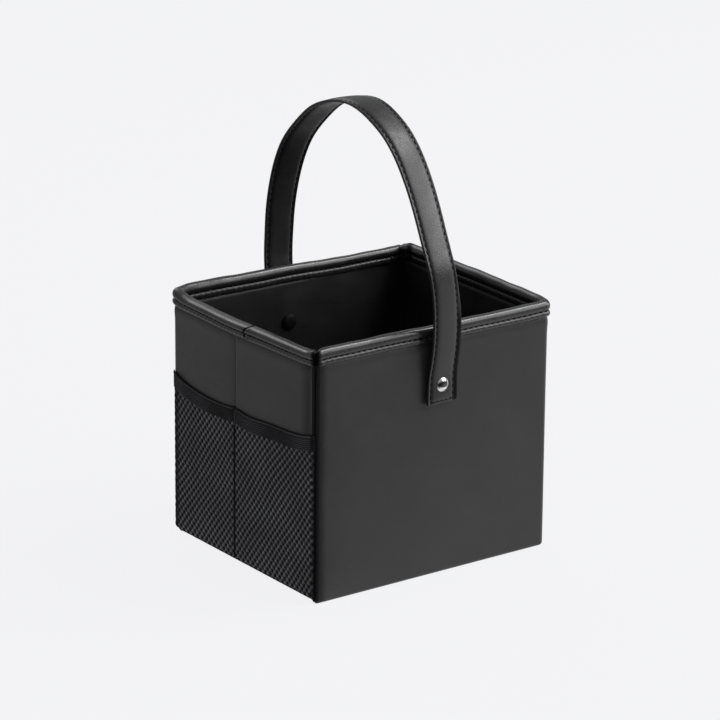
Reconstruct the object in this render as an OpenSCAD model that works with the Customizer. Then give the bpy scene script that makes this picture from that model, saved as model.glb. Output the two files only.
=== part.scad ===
// Open-topped folding organizer box: board-stiffened leather walls, a rolled
// rim, side walls creased down the middle, a two-part base that folds up in a
// ridge, a pair of mesh pockets and one riveted strap handle.
// Origin: middle of the underside. +Z up, X along the front wall,
// the front wall is at -Y and the pocket wall is at -X.

/* [Box] */
// Outside width of the front wall
box_w = 220; // [190:5:260]
// Outside depth of the side walls
box_d = 190; // [160:5:220]
// Height to the top of the rolled rim
box_h = 200; // [170:5:240]

/* [Wall layers] */
// Thickness of the outer leather
skin_t = 1; // [0.8:0.1:1.2]
// Thickness of the stiffener board
board_t = 3; // [2.5:0.1:3.2]
// Thickness of the lining
lining_t = 1; // [0.8:0.1:1.2]

/* [Rolled rim] */
// Height of the binding from its hem to the top of its roll
rim_h = 13.4; // [11:0.2:18]
// How far the binding stands proud of each side of the wall
rim_proud = 1.5; // [1:0.1:1.7]

/* [Folding] */
// Half of the gap between the two halves of a side wall at its crease
crease_gap = 0.1; // [0.05:0.05:0.3]
// Half of the gap between the two boards at a crease
board_gap = 1.5; // [1:0.1:3]
// Distance of the crease's turning line outside the outer face
crease_out = 2.2; // [1.9:0.1:2.6]
// Distance of a corner's turning line inside the side wall's inner face
corner_in = 5; // [4.6:0.1:6]
// Distance of a corner's turning line inside the front wall's inner face
corner_up = 2; // [1.6:0.1:2.4]
// Gap between two panels where they meet in a corner
corner_gap = 0.2; // [0.1:0.05:0.3]

/* [Base] */
// Thickness of each base panel, all layers
base_t = 4; // [3.4:0.1:4.2]
// Thickness of the leather under the base
base_skin_t = 1; // [0.8:0.1:1.2]
// Thickness of the lining on the base
base_lining_t = 0.8; // [0.6:0.1:1]
// Clearance between a base panel's mitred end and the side wall
base_mitre = 3; // [2.6:0.2:6]

/* [Pockets] */
// Thickness of the mesh
mesh_t = 0.8; // [0.6:0.1:1]
// Thickness of the elastic hem
elastic_t = 1.5; // [1:0.1:1.6]
// Height of the elastic hem
elastic_h = 12; // [8:1:16]
// Height of the pocket mouth at the crease
pocket_z = 125; // [90:5:140]

/* [Handle] */
// Width of the strap
strap_w = 27; // [22:1:32]
// Thickness of the strap's outer leather
strap_skin_t = 1.7; // [1.4:0.1:1.8]
// Thickness of the strap's backing
strap_back_t = 1.3; // [1:0.1:1.4]
// Height of the rivets above the underside
rivet_z = 154; // [120:2:165]
// Rise of the strap's crown above the rivets
strap_rise = 200; // [170:5:240]
// Length of the strap's end below its rivet
strap_tail = 15.5; // [12:0.5:20]
// Angle of the line through both rivets, seen from above
handle_skew = 2.34; // [0:0.02:2.4]

/* [Rivets] */
// Radius of the rivet's shank
shank_r = 2; // [1.6:0.1:2.4]
// Running clearance of the strap's hole on the shank
shank_gap = 0.05; // [0.03:0.01:0.09]
// Radius of the rivet's domed head
head_r = 5.5; // [4.6:0.1:6.5]
// Height of the rivet's dome
head_h = 2.6; // [2:0.1:3]
// Radius of the cap inside the wall
cap_r = 6.6; // [5:0.1:7.5]

/* [Hidden] */
$fn = 96;

hw = box_w / 2;
hd = box_d / 2;
wall_t = skin_t + board_t + lining_t;
top_z = box_h - 3;                 // top of the boards, inside the rolled rim
rim_z = box_h - rim_h;             // lower edge of the binding
roll_r = wall_t / 2 + rim_proud;   // radius of the roll
in_x = hw - wall_t;                // inner face of the side walls
in_y = hd - wall_t;                // inner face of the front and rear walls
hinge_y = in_y - corner_up;        // turning line of the corners and of the base
strap_t = strap_skin_t + strap_back_t;
strap_in = hd + 1.1;               // strap's inner face beside the rivet

leather = [0.13, 0.13, 0.135];
cloth = [0.07, 0.07, 0.075];
card = [0.45, 0.38, 0.30];

// ---------------------------------------------------------------- walls

// Plan of the front wall between two depths below its outer face, with the
// outer corners rounded about the wall's inner face
module front_plan(a, b) {
  difference() {
    union() {
      translate([-in_x, -hd + a]) square([2 * in_x, b - a]);
      for (s = [-1, 1]) intersection() {
        translate([s * in_x, -in_y]) circle(r = wall_t - a);
        translate([s * (in_x + wall_t / 2), -in_y - wall_t / 2]) square([wall_t, wall_t], center = true);
        translate([-hw, -hd + a]) square([2 * hw, b - a]);
      }
    }
  }
}

// Outer leather's plan: the rounded outline less the same outline, one skin in
module front_skin_plan() {
  difference() {
    front_plan(0, wall_t);
    union() {
      translate([-in_x, -hd + skin_t]) square([2 * in_x, wall_t]);
      for (s = [-1, 1]) translate([s * in_x, -in_y]) circle(r = wall_t - skin_t);
    }
  }
}

module front_core_plan(a, b) {
  intersection() {
    union() {
      translate([-in_x, -hd + skin_t]) square([2 * in_x, wall_t - skin_t]);
      for (s = [-1, 1]) translate([s * in_x, -in_y]) circle(r = wall_t - skin_t);
    }
    translate([-hw, -hd + a]) square([2 * hw, b - a]);
  }
}

// Hole for a rivet, along the line through both rivets
module rivet_hole(r) {
  rotate([0, 0, handle_skew]) translate([0, 0, rivet_z]) rotate([90, 0, 0])
    translate([0, 0, hd - 12]) cylinder(r = r, h = 24);
}

module wall_skin() {
  difference() {
    union() {
      translate([0, 0, skin_t]) linear_extrude(top_z - skin_t) front_skin_plan();
      linear_extrude(skin_t) front_plan(0, wall_t);
    }
    rivet_hole(shank_r + 0.05);
  }
}

module wall_board() {
  difference() {
    translate([0, 0, skin_t]) linear_extrude(top_z - skin_t) front_core_plan(skin_t, skin_t + board_t);
    rivet_hole(shank_r + 0.05);
  }
}

module wall_lining() {
  difference() {
    translate([0, 0, skin_t]) linear_extrude(top_z - skin_t) front_core_plan(skin_t + board_t, wall_t);
    rivet_hole(shank_r + 0.05);
  }
}

// Section of the rolled rim: first coordinate outward from the inner face
module rim_section() {
  difference() {
    union() {
      translate([-rim_proud, rim_z]) square([wall_t + 2 * rim_proud, box_h - roll_r - rim_z]);
      translate([wall_t / 2, box_h - roll_r]) circle(r = roll_r);
    }
    translate([0, rim_z - 1]) square([wall_t, top_z - rim_z + 1]);
  }
}

module rim_outer_section() {
  intersection() {
    rim_section();
    translate([0, rim_z]) square([hw, rim_h + 1]);
  }
}

// Rim along the front wall, turning both outer corners
module wall_binding() {
  union() {
    translate([-in_x + corner_gap, -in_y, 0]) rotate([90, 0, 90])
      mirror([1, 0, 0]) linear_extrude(2 * in_x - 2 * corner_gap) rim_section();
    translate([-in_x, -in_y, 0]) rotate([90, 0, 90])
      mirror([1, 0, 0]) linear_extrude(2 * in_x) rim_outer_section();
    translate([-in_x, -in_y, 0]) rotate([0, 0, 180]) rotate_extrude(angle = 90) rim_outer_section();
    translate([in_x, -in_y, 0]) rotate([0, 0, 270]) rotate_extrude(angle = 90) rim_outer_section();
  }
}

// ---------------------------------------------------------------- side walls
// Drawn as the front half of the left wall; the others are turned or mirrored

side_a = -in_y + corner_gap;       // end at the corner
side_b = -crease_gap;              // end at the crease

module side_layer(a, b, z0, z1) {
  translate([-hw + a, side_a, z0]) cube([b - a, side_b - side_a, z1 - z0]);
}

module side_skin() {
  union() {
    side_layer(0, skin_t, skin_t, top_z);
    side_layer(0, wall_t, 0, skin_t);
  }
}

module side_board() {
  difference() {
    side_layer(skin_t, skin_t + board_t, skin_t, top_z);
    translate([-hw - 1, -board_gap, -1]) cube([wall_t + 2, board_gap * 2, box_h]);
  }
}

module side_lining() { side_layer(skin_t + board_t, wall_t, skin_t, top_z); }

module side_binding() {
  inner_start = -in_y + rim_proud + corner_gap;
  union() {
    translate([-in_x, side_b, 0]) rotate([90, 0, 0]) mirror([1, 0, 0])
      linear_extrude(side_b - inner_start) rim_section();
    translate([-in_x, side_b, 0]) rotate([90, 0, 0]) mirror([1, 0, 0])
      linear_extrude(side_b - side_a) rim_outer_section();
  }
}

// ---------------------------------------------------------------- base
// Each half is a trapezoid, mitred at 45 degrees towards the ridge, so that it
// rises between the side walls as they fold in

module base_plan(ridge_y) {
  v = ridge_y + hinge_y;
  polygon([
    [-in_x + base_mitre, -hinge_y + 0.1], [in_x - base_mitre, -hinge_y + 0.1],
    [in_x - base_mitre - v, ridge_y], [-in_x + base_mitre + v, ridge_y]
  ]);
}

module base_layer(z0, z1, ridge_y) {
  translate([0, 0, z0]) linear_extrude(z1 - z0) base_plan(ridge_y);
}

// Soft leather triangle between a base panel's mitre and the side wall
module gusset() {
  translate([0, 0, 0.2]) linear_extrude(1) polygon([
    [-in_x + 0.3, -hinge_y + 4], [-in_x + base_mitre + 3.4, -hinge_y + 4],
    [-in_x + base_mitre + hinge_y - crease_gap - 1.2, side_b], [-in_x + 0.3, side_b]
  ]);
}

// ---------------------------------------------------------------- pockets

// Height of the pocket mouth: lowest towards the middle of each pocket and
// rising to the corner, like a loaded elastic
function mouth_z(u, sag, rise) = pocket_z - sag * 4 * u * (1 - u) + rise * pow(u, 3);
pocket_n = 16;

module pocket_outline(z_low, sag, rise, drop, under) {
  len = side_b - side_a;
  polygon(concat(
    [for (i = [0:pocket_n]) [side_b - len * i / pocket_n, mouth_z(i / pocket_n, sag, rise) - drop]],
    under ? [[side_a, z_low], [side_b, z_low]]
          : [for (i = [pocket_n:-1:0]) [side_b - len * i / pocket_n, mouth_z(i / pocket_n, sag, rise) - elastic_h]]
  ));
}

module pocket_mesh(sag, rise) {
  translate([-hw, 0, 0]) rotate([90, 0, -90]) mirror([1, 0, 0])
    linear_extrude(mesh_t) pocket_outline(2, sag, rise, elastic_h, true);
}

module pocket_elastic(sag, rise) {
  translate([-hw, 0, 0]) rotate([90, 0, -90]) mirror([1, 0, 0])
    linear_extrude(elastic_t) pocket_outline(2, sag, rise, 0, false);
}

// ---------------------------------------------------------------- handle

// Outer face of the strap from the front rivet over the crown to the rear one:
// distance from the middle and height, for a depth of 190 and rivets at 154
strap_pts = [
  [-99.1, 138.5], [-99.1, 144], [-99.1, 150], [-99.1, 156], [-99.1, 161.5], [-100.2, 168], [-102.6, 177],
  [-104.9, 188], [-106.4, 201], [-106.4, 215], [-104.4, 230], [-100.0, 245], [-93.4, 259], [-86.6, 273],
  [-79.8, 287], [-72.2, 301], [-62.8, 315], [-51.5, 328], [-37.5, 340], [-20, 349], [-2, 353.6], [14, 354],
  [30, 350.3], [45, 342], [59, 330], [73, 314], [86, 294], [95.5, 274], [102.2, 254], [106.2, 233],
  [107.8, 212], [106.8, 196], [104.6, 182], [101.4, 170], [99.1, 161.5], [99.1, 156], [99.1, 150],
  [99.1, 144], [99.1, 138.5]
];
function strap_map(p) = [
  sign(p[0]) * (abs(p[0]) - 95 * min(1, abs(p[0]) / 95) + hd * min(1, abs(p[0]) / 95)),
  rivet_z + (p[1] < 154 ? (p[1] - 154) * strap_tail / 15.5 : (p[1] - 154) * strap_rise / 200)
];
strap_q = [for (p = strap_pts) strap_map(p)];
strap_m = len(strap_q);
strap_sub = 3;
function sq(i) = strap_q[max(0, min(strap_m - 1, i))];
function spline(i, t) = let (a = sq(i - 1), b = sq(i), c = sq(i + 1), d = sq(i + 2))
  0.5 * (2 * b + (c - a) * t + (2 * a - 5 * b + 4 * c - d) * t * t + (3 * b - a - 3 * c + d) * t * t * t);
strap_c = concat(
  [for (i = [0:strap_m - 2]) for (j = [0:strap_sub - 1]) spline(i, j / strap_sub)],
  [strap_q[strap_m - 1]]
);
strap_k = len(strap_c);
function unit(v) = v / norm(v);
function strap_dir(i) = unit(strap_c[min(strap_k - 1, i + 1)] - strap_c[max(0, i - 1)]);
// inward normal, to the right of the direction of travel
function strap_nrm(i) = let (d = strap_dir(i)) [d[1], -d[0]];
function strap_off(d) = [for (i = [0:strap_k - 1]) strap_c[i] + d * strap_nrm(i)];
function reversed(v) = [for (i = [len(v) - 1:-1:0]) v[i]];

module strap_layer(d0, d1) {
  rotate([0, 0, handle_skew]) difference() {
    translate([-strap_w / 2, 0, 0]) rotate([90, 0, 90])
      linear_extrude(strap_w) polygon(concat(strap_off(d0), reversed(strap_off(d1))));
    translate([0, 0, rivet_z]) rotate([90, 0, 0])
      cylinder(r = shank_r + shank_gap, h = 2 * hd + 40, center = true);
  }
}

// ---------------------------------------------------------------- rivets
// Drawn on the front wall, along the line through both rivets

head_y = strap_in + strap_t + 0.15;

module rivet() {
  rotate([0, 0, handle_skew]) translate([0, 0, rivet_z]) rotate([90, 0, 0]) union() {
    translate([0, 0, in_y - 0.4]) cylinder(r = shank_r, h = head_y - in_y + 0.4);
    translate([0, 0, head_y]) rotate_extrude() intersection() {
      dome_r = (head_r * head_r + head_h * head_h) / (2 * head_h);
      translate([0, head_h - dome_r]) circle(r = dome_r);
      square([head_r, head_h]);
    }
  }
}

module rivet_cap() {
  rotate([0, 0, handle_skew]) translate([0, 0, rivet_z]) rotate([90, 0, 0])
    translate([0, 0, in_y - 2.2]) union() {
      cylinder(r = cap_r, h = 1);
      translate([0, 0, 1]) cylinder(r = cap_r - 1, h = 0.8);
    }
}

// ---------------------------------------------------------------- sub-parts

module front_skin() { color(leather) wall_skin(); }
module front_board() { color(card) wall_board(); }
module front_lining() { color(cloth) wall_lining(); }
module front_binding() { color(leather) wall_binding(); }
module front_rivet() { color("silver") rivet(); }
module front_rivet_cap() { color([0.1, 0.1, 0.1]) rivet_cap(); }

module rear_skin() { color(leather) rotate([0, 0, 180]) wall_skin(); }
module rear_board() { color(card) rotate([0, 0, 180]) wall_board(); }
module rear_lining() { color(cloth) rotate([0, 0, 180]) wall_lining(); }
module rear_binding() { color(leather) rotate([0, 0, 180]) wall_binding(); }
module rear_rivet() { color("silver") rotate([0, 0, 180]) rivet(); }
module rear_rivet_cap() { color([0.1, 0.1, 0.1]) rotate([0, 0, 180]) rivet_cap(); }

module left_front_skin() { color(leather) side_skin(); }
module left_front_board() { color(card) side_board(); }
module left_front_lining() { color(cloth) side_lining(); }
module left_front_binding() { color(leather) side_binding(); }

module left_rear_skin() { color(leather) mirror([0, 1, 0]) side_skin(); }
module left_rear_board() { color(card) mirror([0, 1, 0]) side_board(); }
module left_rear_lining() { color(cloth) mirror([0, 1, 0]) side_lining(); }
module left_rear_binding() { color(leather) mirror([0, 1, 0]) side_binding(); }

module right_front_skin() { color(leather) mirror([1, 0, 0]) side_skin(); }
module right_front_board() { color(card) mirror([1, 0, 0]) side_board(); }
module right_front_lining() { color(cloth) mirror([1, 0, 0]) side_lining(); }
module right_front_binding() { color(leather) mirror([1, 0, 0]) side_binding(); }

module right_rear_skin() { color(leather) rotate([0, 0, 180]) side_skin(); }
module right_rear_board() { color(card) rotate([0, 0, 180]) side_board(); }
module right_rear_lining() { color(cloth) rotate([0, 0, 180]) side_lining(); }
module right_rear_binding() { color(leather) rotate([0, 0, 180]) side_binding(); }

module base_front_skin() { color(leather) base_layer(0, base_skin_t, 0.6); }
module base_front_board() { color(card) base_layer(base_skin_t, base_t - base_lining_t, -board_gap); }
module base_front_lining() { color(cloth) base_layer(base_t - base_lining_t, base_t, -crease_gap); }
module base_rear_skin() { color(leather) mirror([0, 1, 0]) base_layer(0, base_skin_t, -0.8); }
module base_rear_board() { color(card) mirror([0, 1, 0]) base_layer(base_skin_t, base_t - base_lining_t, -board_gap); }
module base_rear_lining() { color(cloth) mirror([0, 1, 0]) base_layer(base_t - base_lining_t, base_t, -crease_gap); }

module gusset_left_front() { color(leather) gusset(); }
module gusset_left_rear() { color(leather) mirror([0, 1, 0]) gusset(); }
module gusset_right_front() { color(leather) mirror([1, 0, 0]) gusset(); }
module gusset_right_rear() { color(leather) rotate([0, 0, 180]) gusset(); }

module pocket_mesh_front() { color([0.2, 0.2, 0.2]) pocket_mesh(3, 8); }
module pocket_mesh_rear() { color([0.2, 0.2, 0.2]) mirror([0, 1, 0]) pocket_mesh(5, 6); }
module pocket_elastic_front() { color([0.1, 0.1, 0.1]) pocket_elastic(3, 8); }
module pocket_elastic_rear() { color([0.1, 0.1, 0.1]) mirror([0, 1, 0]) pocket_elastic(5, 6); }

module handle_strap() { color(leather) strap_layer(0, strap_skin_t); }
module handle_backing() { color(cloth) strap_layer(strap_skin_t, strap_t); }

front_skin();
front_board();
front_lining();
front_binding();
front_rivet();
front_rivet_cap();
rear_skin();
rear_board();
rear_lining();
rear_binding();
rear_rivet();
rear_rivet_cap();
left_front_skin();
left_front_board();
left_front_lining();
left_front_binding();
left_rear_skin();
left_rear_board();
left_rear_lining();
left_rear_binding();
right_front_skin();
right_front_board();
right_front_lining();
right_front_binding();
right_rear_skin();
right_rear_board();
right_rear_lining();
right_rear_binding();
base_front_skin();
base_front_board();
base_front_lining();
base_rear_skin();
base_rear_board();
base_rear_lining();
gusset_left_front();
gusset_left_rear();
gusset_right_front();
gusset_right_rear();
pocket_mesh_front();
pocket_mesh_rear();
pocket_elastic_front();
pocket_elastic_rear();
handle_strap();
handle_backing();
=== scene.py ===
import bpy
import math
import numpy as np
from mathutils import Vector, Matrix


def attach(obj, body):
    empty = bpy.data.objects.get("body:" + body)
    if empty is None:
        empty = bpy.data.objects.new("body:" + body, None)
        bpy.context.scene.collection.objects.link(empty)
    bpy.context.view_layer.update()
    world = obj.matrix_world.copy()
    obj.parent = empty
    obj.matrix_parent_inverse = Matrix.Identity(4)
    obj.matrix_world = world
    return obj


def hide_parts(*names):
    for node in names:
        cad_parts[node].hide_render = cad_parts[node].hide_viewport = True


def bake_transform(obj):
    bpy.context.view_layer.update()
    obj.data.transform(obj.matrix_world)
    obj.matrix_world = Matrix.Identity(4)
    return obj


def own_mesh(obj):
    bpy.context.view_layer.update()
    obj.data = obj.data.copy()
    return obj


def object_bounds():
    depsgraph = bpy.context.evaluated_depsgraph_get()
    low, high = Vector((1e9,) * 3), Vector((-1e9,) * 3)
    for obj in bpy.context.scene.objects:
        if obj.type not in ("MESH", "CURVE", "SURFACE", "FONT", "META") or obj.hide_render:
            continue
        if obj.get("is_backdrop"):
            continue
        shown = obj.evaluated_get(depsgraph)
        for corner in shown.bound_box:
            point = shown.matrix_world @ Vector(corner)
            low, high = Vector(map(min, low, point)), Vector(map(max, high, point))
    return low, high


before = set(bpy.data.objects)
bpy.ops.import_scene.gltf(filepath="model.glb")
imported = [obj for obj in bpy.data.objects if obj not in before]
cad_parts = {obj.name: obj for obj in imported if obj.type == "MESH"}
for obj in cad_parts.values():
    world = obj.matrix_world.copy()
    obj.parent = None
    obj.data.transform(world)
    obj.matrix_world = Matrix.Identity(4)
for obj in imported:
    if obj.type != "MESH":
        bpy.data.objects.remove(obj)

CAD_LO, CAD_HI = [list(v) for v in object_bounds()]
MM = 0.001
PI = math.pi

# ------------------------------------------------------------------ camera
# Lens, distance and angle of the photograph, worked out from the box's corners
YAW, PITCH, ROLL, DIST = math.radians(-36.19), math.radians(18.62), math.radians(0.5), 3097.43
F_PX, SHIFT_X, SHIFT_Z = 4004.885, -0.08, 44.151
back = Vector((math.sin(YAW) * math.cos(PITCH), -math.cos(YAW) * math.cos(PITCH), math.sin(PITCH)))
right = Vector((math.cos(YAW), math.sin(YAW), 0))
up = back.cross(right)
cam = bpy.data.objects.new("camera", bpy.data.cameras.new("camera"))
bpy.context.scene.collection.objects.link(cam)
cam.data.sensor_fit = "HORIZONTAL"
cam.data.sensor_width = 36
cam.data.lens = F_PX * 36 / 720
cam.data.clip_start, cam.data.clip_end = 0.05, 100
place = (Vector((0, 0, 100)) + back * DIST + right * SHIFT_X + up * SHIFT_Z) * MM
turn = Matrix((right * math.cos(ROLL) + up * math.sin(ROLL), up * math.cos(ROLL) - right * math.sin(ROLL), back)).transposed()
cam.matrix_world = Matrix.Translation(place) @ turn.to_4x4()
bpy.context.scene.camera = cam


# --------------------------------------------------------------- materials
class Mat:
    """A node material, built a node at a time."""

    def __init__(self, name):
        self.m = bpy.data.materials.new(name)
        self.m.use_nodes = True
        self.t = self.m.node_tree
        self.t.nodes.clear()
        self.out = self.add("ShaderNodeOutputMaterial")
        self.b = self.add("ShaderNodeBsdfPrincipled")
        self.link(self.b.outputs[0], self.out.inputs["Surface"])
        self.co = self.add("ShaderNodeTexCoord").outputs["Object"]

    def add(self, kind, **props):
        n = self.t.nodes.new(kind)
        for k, v in props.items():
            setattr(n, k, v)
        return n

    def link(self, a, b):
        self.t.links.new(a, b)

    def scaled(self, factors, rot=(0, 0, 0)):
        n = self.add("ShaderNodeMapping")
        n.inputs["Scale"].default_value = factors
        n.inputs["Rotation"].default_value = rot
        self.link(self.co, n.inputs["Vector"])
        return n.outputs[0]

    def noise(self, per_mm, detail=3.0, rough=0.55, vector=None):
        n = self.add("ShaderNodeTexNoise")
        n.inputs["Scale"].default_value = 1000.0 / per_mm
        n.inputs["Detail"].default_value = detail
        n.inputs["Roughness"].default_value = rough
        self.link(vector or self.co, n.inputs["Vector"])
        return n.outputs["Fac"]

    def voronoi(self, per_mm, feature="F1", vector=None):
        n = self.add("ShaderNodeTexVoronoi", feature=feature)
        n.inputs["Scale"].default_value = 1000.0 / per_mm
        self.link(vector or self.co, n.inputs["Vector"])
        return n.outputs["Distance"]

    def math(self, op, a, b=None, c=None, clamp=False):
        n = self.add("ShaderNodeMath", operation=op)
        n.use_clamp = clamp
        for i, v in enumerate((a, b, c)):
            if v is None:
                continue
            if isinstance(v, (int, float)):
                n.inputs[i].default_value = v
            else:
                self.link(v, n.inputs[i])
        return n.outputs[0]

    def remap(self, v, a, b, c, d):
        n = self.add("ShaderNodeMapRange")
        n.clamp = True
        self.link(v, n.inputs["Value"])
        for k, x in zip(("From Min", "From Max", "To Min", "To Max"), (a, b, c, d)):
            n.inputs[k].default_value = x
        return n.outputs["Result"]

    def ramp(self, v, stops):
        n = self.add("ShaderNodeValToRGB")
        r = n.color_ramp
        while len(r.elements) < len(stops):
            r.elements.new(0.5)
        for e, (pos, col) in zip(r.elements, stops):
            e.position, e.color = pos, (*col, 1)
        self.link(v, n.inputs["Fac"])
        return n.outputs["Color"]

    def mix(self, f, a, b, blend="MIX"):
        n = self.add("ShaderNodeMix", data_type="RGBA", blend_type=blend)
        if isinstance(f, (int, float)):
            n.inputs[0].default_value = f
        else:
            self.link(f, n.inputs[0])
        for i, v in ((6, a), (7, b)):
            if isinstance(v, tuple):
                n.inputs[i].default_value = (*v, 1)
            else:
                self.link(v, n.inputs[i])
        return n.outputs[2]

    def bump(self, height, strength, mm, normal=None):
        n = self.add("ShaderNodeBump")
        n.inputs["Strength"].default_value = strength
        n.inputs["Distance"].default_value = mm * MM
        self.link(height, n.inputs["Height"])
        if normal is not None:
            self.link(normal, n.inputs["Normal"])
        return n.outputs[0]

    def xyz(self):
        n = self.add("ShaderNodeSeparateXYZ")
        self.link(self.co, n.inputs[0])
        return n.outputs

    def set(self, color=None, roughness=None, normal=None, **numbers):
        i = self.b.inputs
        for k, v in (("Base Color", color), ("Roughness", roughness), ("Normal", normal)):
            if v is None:
                continue
            if isinstance(v, tuple):
                i[k].default_value = (*v, 1)
            elif isinstance(v, (int, float)):
                i[k].default_value = v
            else:
                self.link(v, i[k])
        for k, v in numbers.items():
            if isinstance(v, (int, float)):
                i[k.replace("_", " ")].default_value = v
            else:
                self.link(v, i[k.replace("_", " ")])
        return self.m


def grey(v, warm=0.0):
    return (v * (1 + warm), v, v * (1 - warm * 0.6))


def leather(name, base, spread, rough, grain_mm, grain, spec=0.5, dark=None, hair=0.25, sheen=0.08):
    """Imitation leather: fine pebble grain, mottled depth of colour and sheen.
    dark(m) gives a mask where colour and sheen are painted darker: painted shade at the sewn corner, the creases and
    the mitre pleats, a painted shadow line where the binding laps, and a darker strap edge."""
    m = Mat(name)
    big = m.noise(48, 3.0, 0.5)
    mid = m.noise(7, 3.0, 0.6)
    tone = m.math("MULTIPLY_ADD", mid, 0.4, m.math("MULTIPLY", big, 0.6))
    col = m.ramp(tone, [(0.36, grey(base * (1 - spread))), (0.50, grey(base)), (0.64, grey(base * (1 + spread)))])
    if dark is not None:
        # painted shade: the mask pulls the colour towards black and lowers the sheen
        mask = dark(m)
        col = m.mix(mask, col, grey(base * 0.08))
        spec = m.math("MULTIPLY_ADD", mask, -0.92 * spec, spec)
    fine = m.voronoi(grain_mm, "SMOOTH_F1")
    pores = m.noise(grain_mm * 0.55, 4.0, 0.65)
    soft = m.noise(16, 2.0, 0.5)
    h = m.math("ADD", m.math("MULTIPLY", fine, grain), m.math("MULTIPLY", pores, grain * 0.8))
    n = m.bump(h, hair, 0.10)
    n = m.bump(soft, 0.10, 1.2, n)
    r = m.remap(m.math("MULTIPLY_ADD", pores, 0.45, m.math("MULTIPLY", mid, 0.55)), 0.35, 0.68, rough - sheen, rough + sheen)
    m.set(color=col, roughness=r, normal=n, Specular_IOR_Level=spec)
    return m.m


def wall_painted_shade(m):
    """Painted shade in a band either side of the sewn corner, where the wrap of leather begins and ends, with a dark
    line right at the seam, and painted shade along the creases, wider on the rear side of the left wall's crease.
    """
    x, y, z = m.xyz()
    dx = m.math("MULTIPLY", m.math("ADD", x, 0.1085), 1.2)
    dy = m.math("MULTIPLY", m.math("ADD", y, 0.0935), 0.62)
    dist = m.math("SQRT", m.math("ADD", m.math("MULTIPLY", dx, dx), m.math("MULTIPLY", dy, dy)))
    wobble = m.math("MULTIPLY_ADD", m.noise(22, 2.0), 0.003, -0.0015)
    d = m.math("ADD", dist, wobble)
    # painted shade in a band either side of the near corner's seam
    wide = m.math("MAXIMUM", m.remap(d, 0.0060, 0.0120, 0.62, 0.18), m.remap(d, 0.0100, 0.0180, 0.27, 0.0))
    tight = m.remap(dist, 0.0006, 0.0016, 0.98, 0.0)
    off = m.math("SUBTRACT", y, m.math("MULTIPLY", m.math("LESS_THAN", x, 0.0), CREASE * MM))
    # painted shade along the creases, wider on the rear side of the left wall's crease
    line = m.remap(m.math("ABSOLUTE", off), 0.0002, 0.0011, 0.55, 0.0)
    crease_rear_shade = m.math("MULTIPLY", m.remap(off, 0.0, 0.0070, 0.26, 0.0), m.math("GREATER_THAN", off, 0.0))
    line = m.math("MAXIMUM", line, m.math("MULTIPLY", crease_rear_shade, m.math("LESS_THAN", x, 0.0)))
    side = m.math("GREATER_THAN", m.math("ABSOLUTE", x), 0.1060)
    return m.math("MAXIMUM", m.math("MAXIMUM", wide, tight), m.math("MULTIPLY", line, side))


def rim_painted_shade(m):
    """Painted shade in the pleats of the two mitred corners."""
    x, y, z = m.xyz()
    # the far one sits a little way round on to the right wall
    at = m.math("MULTIPLY_ADD", m.math("GREATER_THAN", x, 0.0), 0.012, 0.015)
    off = m.math("ABSOLUTE", m.math("SUBTRACT", m.math("SUBTRACT", m.math("ABSOLUTE", x), m.math("ABSOLUTE", y)), at))
    # painted shade in the pleats
    pleat = m.remap(off, 0.0018, 0.0062, 0.97, 0.0)
    which = m.math("GREATER_THAN", m.math("MULTIPLY", x, y), 0.0)
    # shadow line where the binding's end laps over its start
    lap = m.math("DIVIDE", m.math("ADD", z, -0.1910), 0.0053)
    edge = m.math("MULTIPLY_ADD", m.math("MULTIPLY", lap, lap), -0.0045, JOINT_Y * MM)
    gap = m.math("SUBTRACT", y, edge)
    line = m.math("MULTIPLY", m.remap(gap, -0.0002, 0.0001, 0.0, 0.98), m.remap(gap, 0.0026, 0.0036, 1.0, 0.0))
    line = m.math("MULTIPLY", line, m.math("LESS_THAN", x, -0.1))
    return m.math("MAXIMUM", m.math("MULTIPLY", pleat, which), line)


def strap_dark(m):
    """Darker thick edge on the right of the strap's front end."""
    x, y, z = m.xyz()
    past = m.math("SUBTRACT", x, m.remap(z, 0.188, 0.214, 0.0156, 0.0147))
    edge = m.math("MULTIPLY", m.remap(past, 0.0, 0.0006, 0.0, 0.88), m.remap(z, 0.204, 0.224, 1.0, 0.0))
    return m.math("MULTIPLY", edge, m.math("LESS_THAN", y, -0.09))


JOINT_Y = -6.0
CREASE = 9.0
M_SHELL = leather("shell_leather_fine", 0.024, 0.14, 0.42, 0.9, 0.8, spec=0.42, dark=wall_painted_shade)
M_BIND = leather("binding_leather_fine", 0.012, 0.20, 0.30, 0.8, 0.45, dark=rim_painted_shade)
M_STRAP = leather("strap_leather_fine", 0.0112, 0.24, 0.38, 1.25, 1.3, spec=0.36, hair=0.5, dark=strap_dark)
M_STRAP_IN = leather("strap_backing_fine", 0.0075, 0.25, 0.48, 1.0, 1.0, spec=0.35, hair=0.35)
M_UNDER = leather("under_leather_fine", 0.011, 0.20, 0.50, 1.1, 1.1, spec=0.4)
M_GUSSET = leather("gusset_leather_fine", 0.010, 0.22, 0.48, 0.9, 1.0, spec=0.4)


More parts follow.
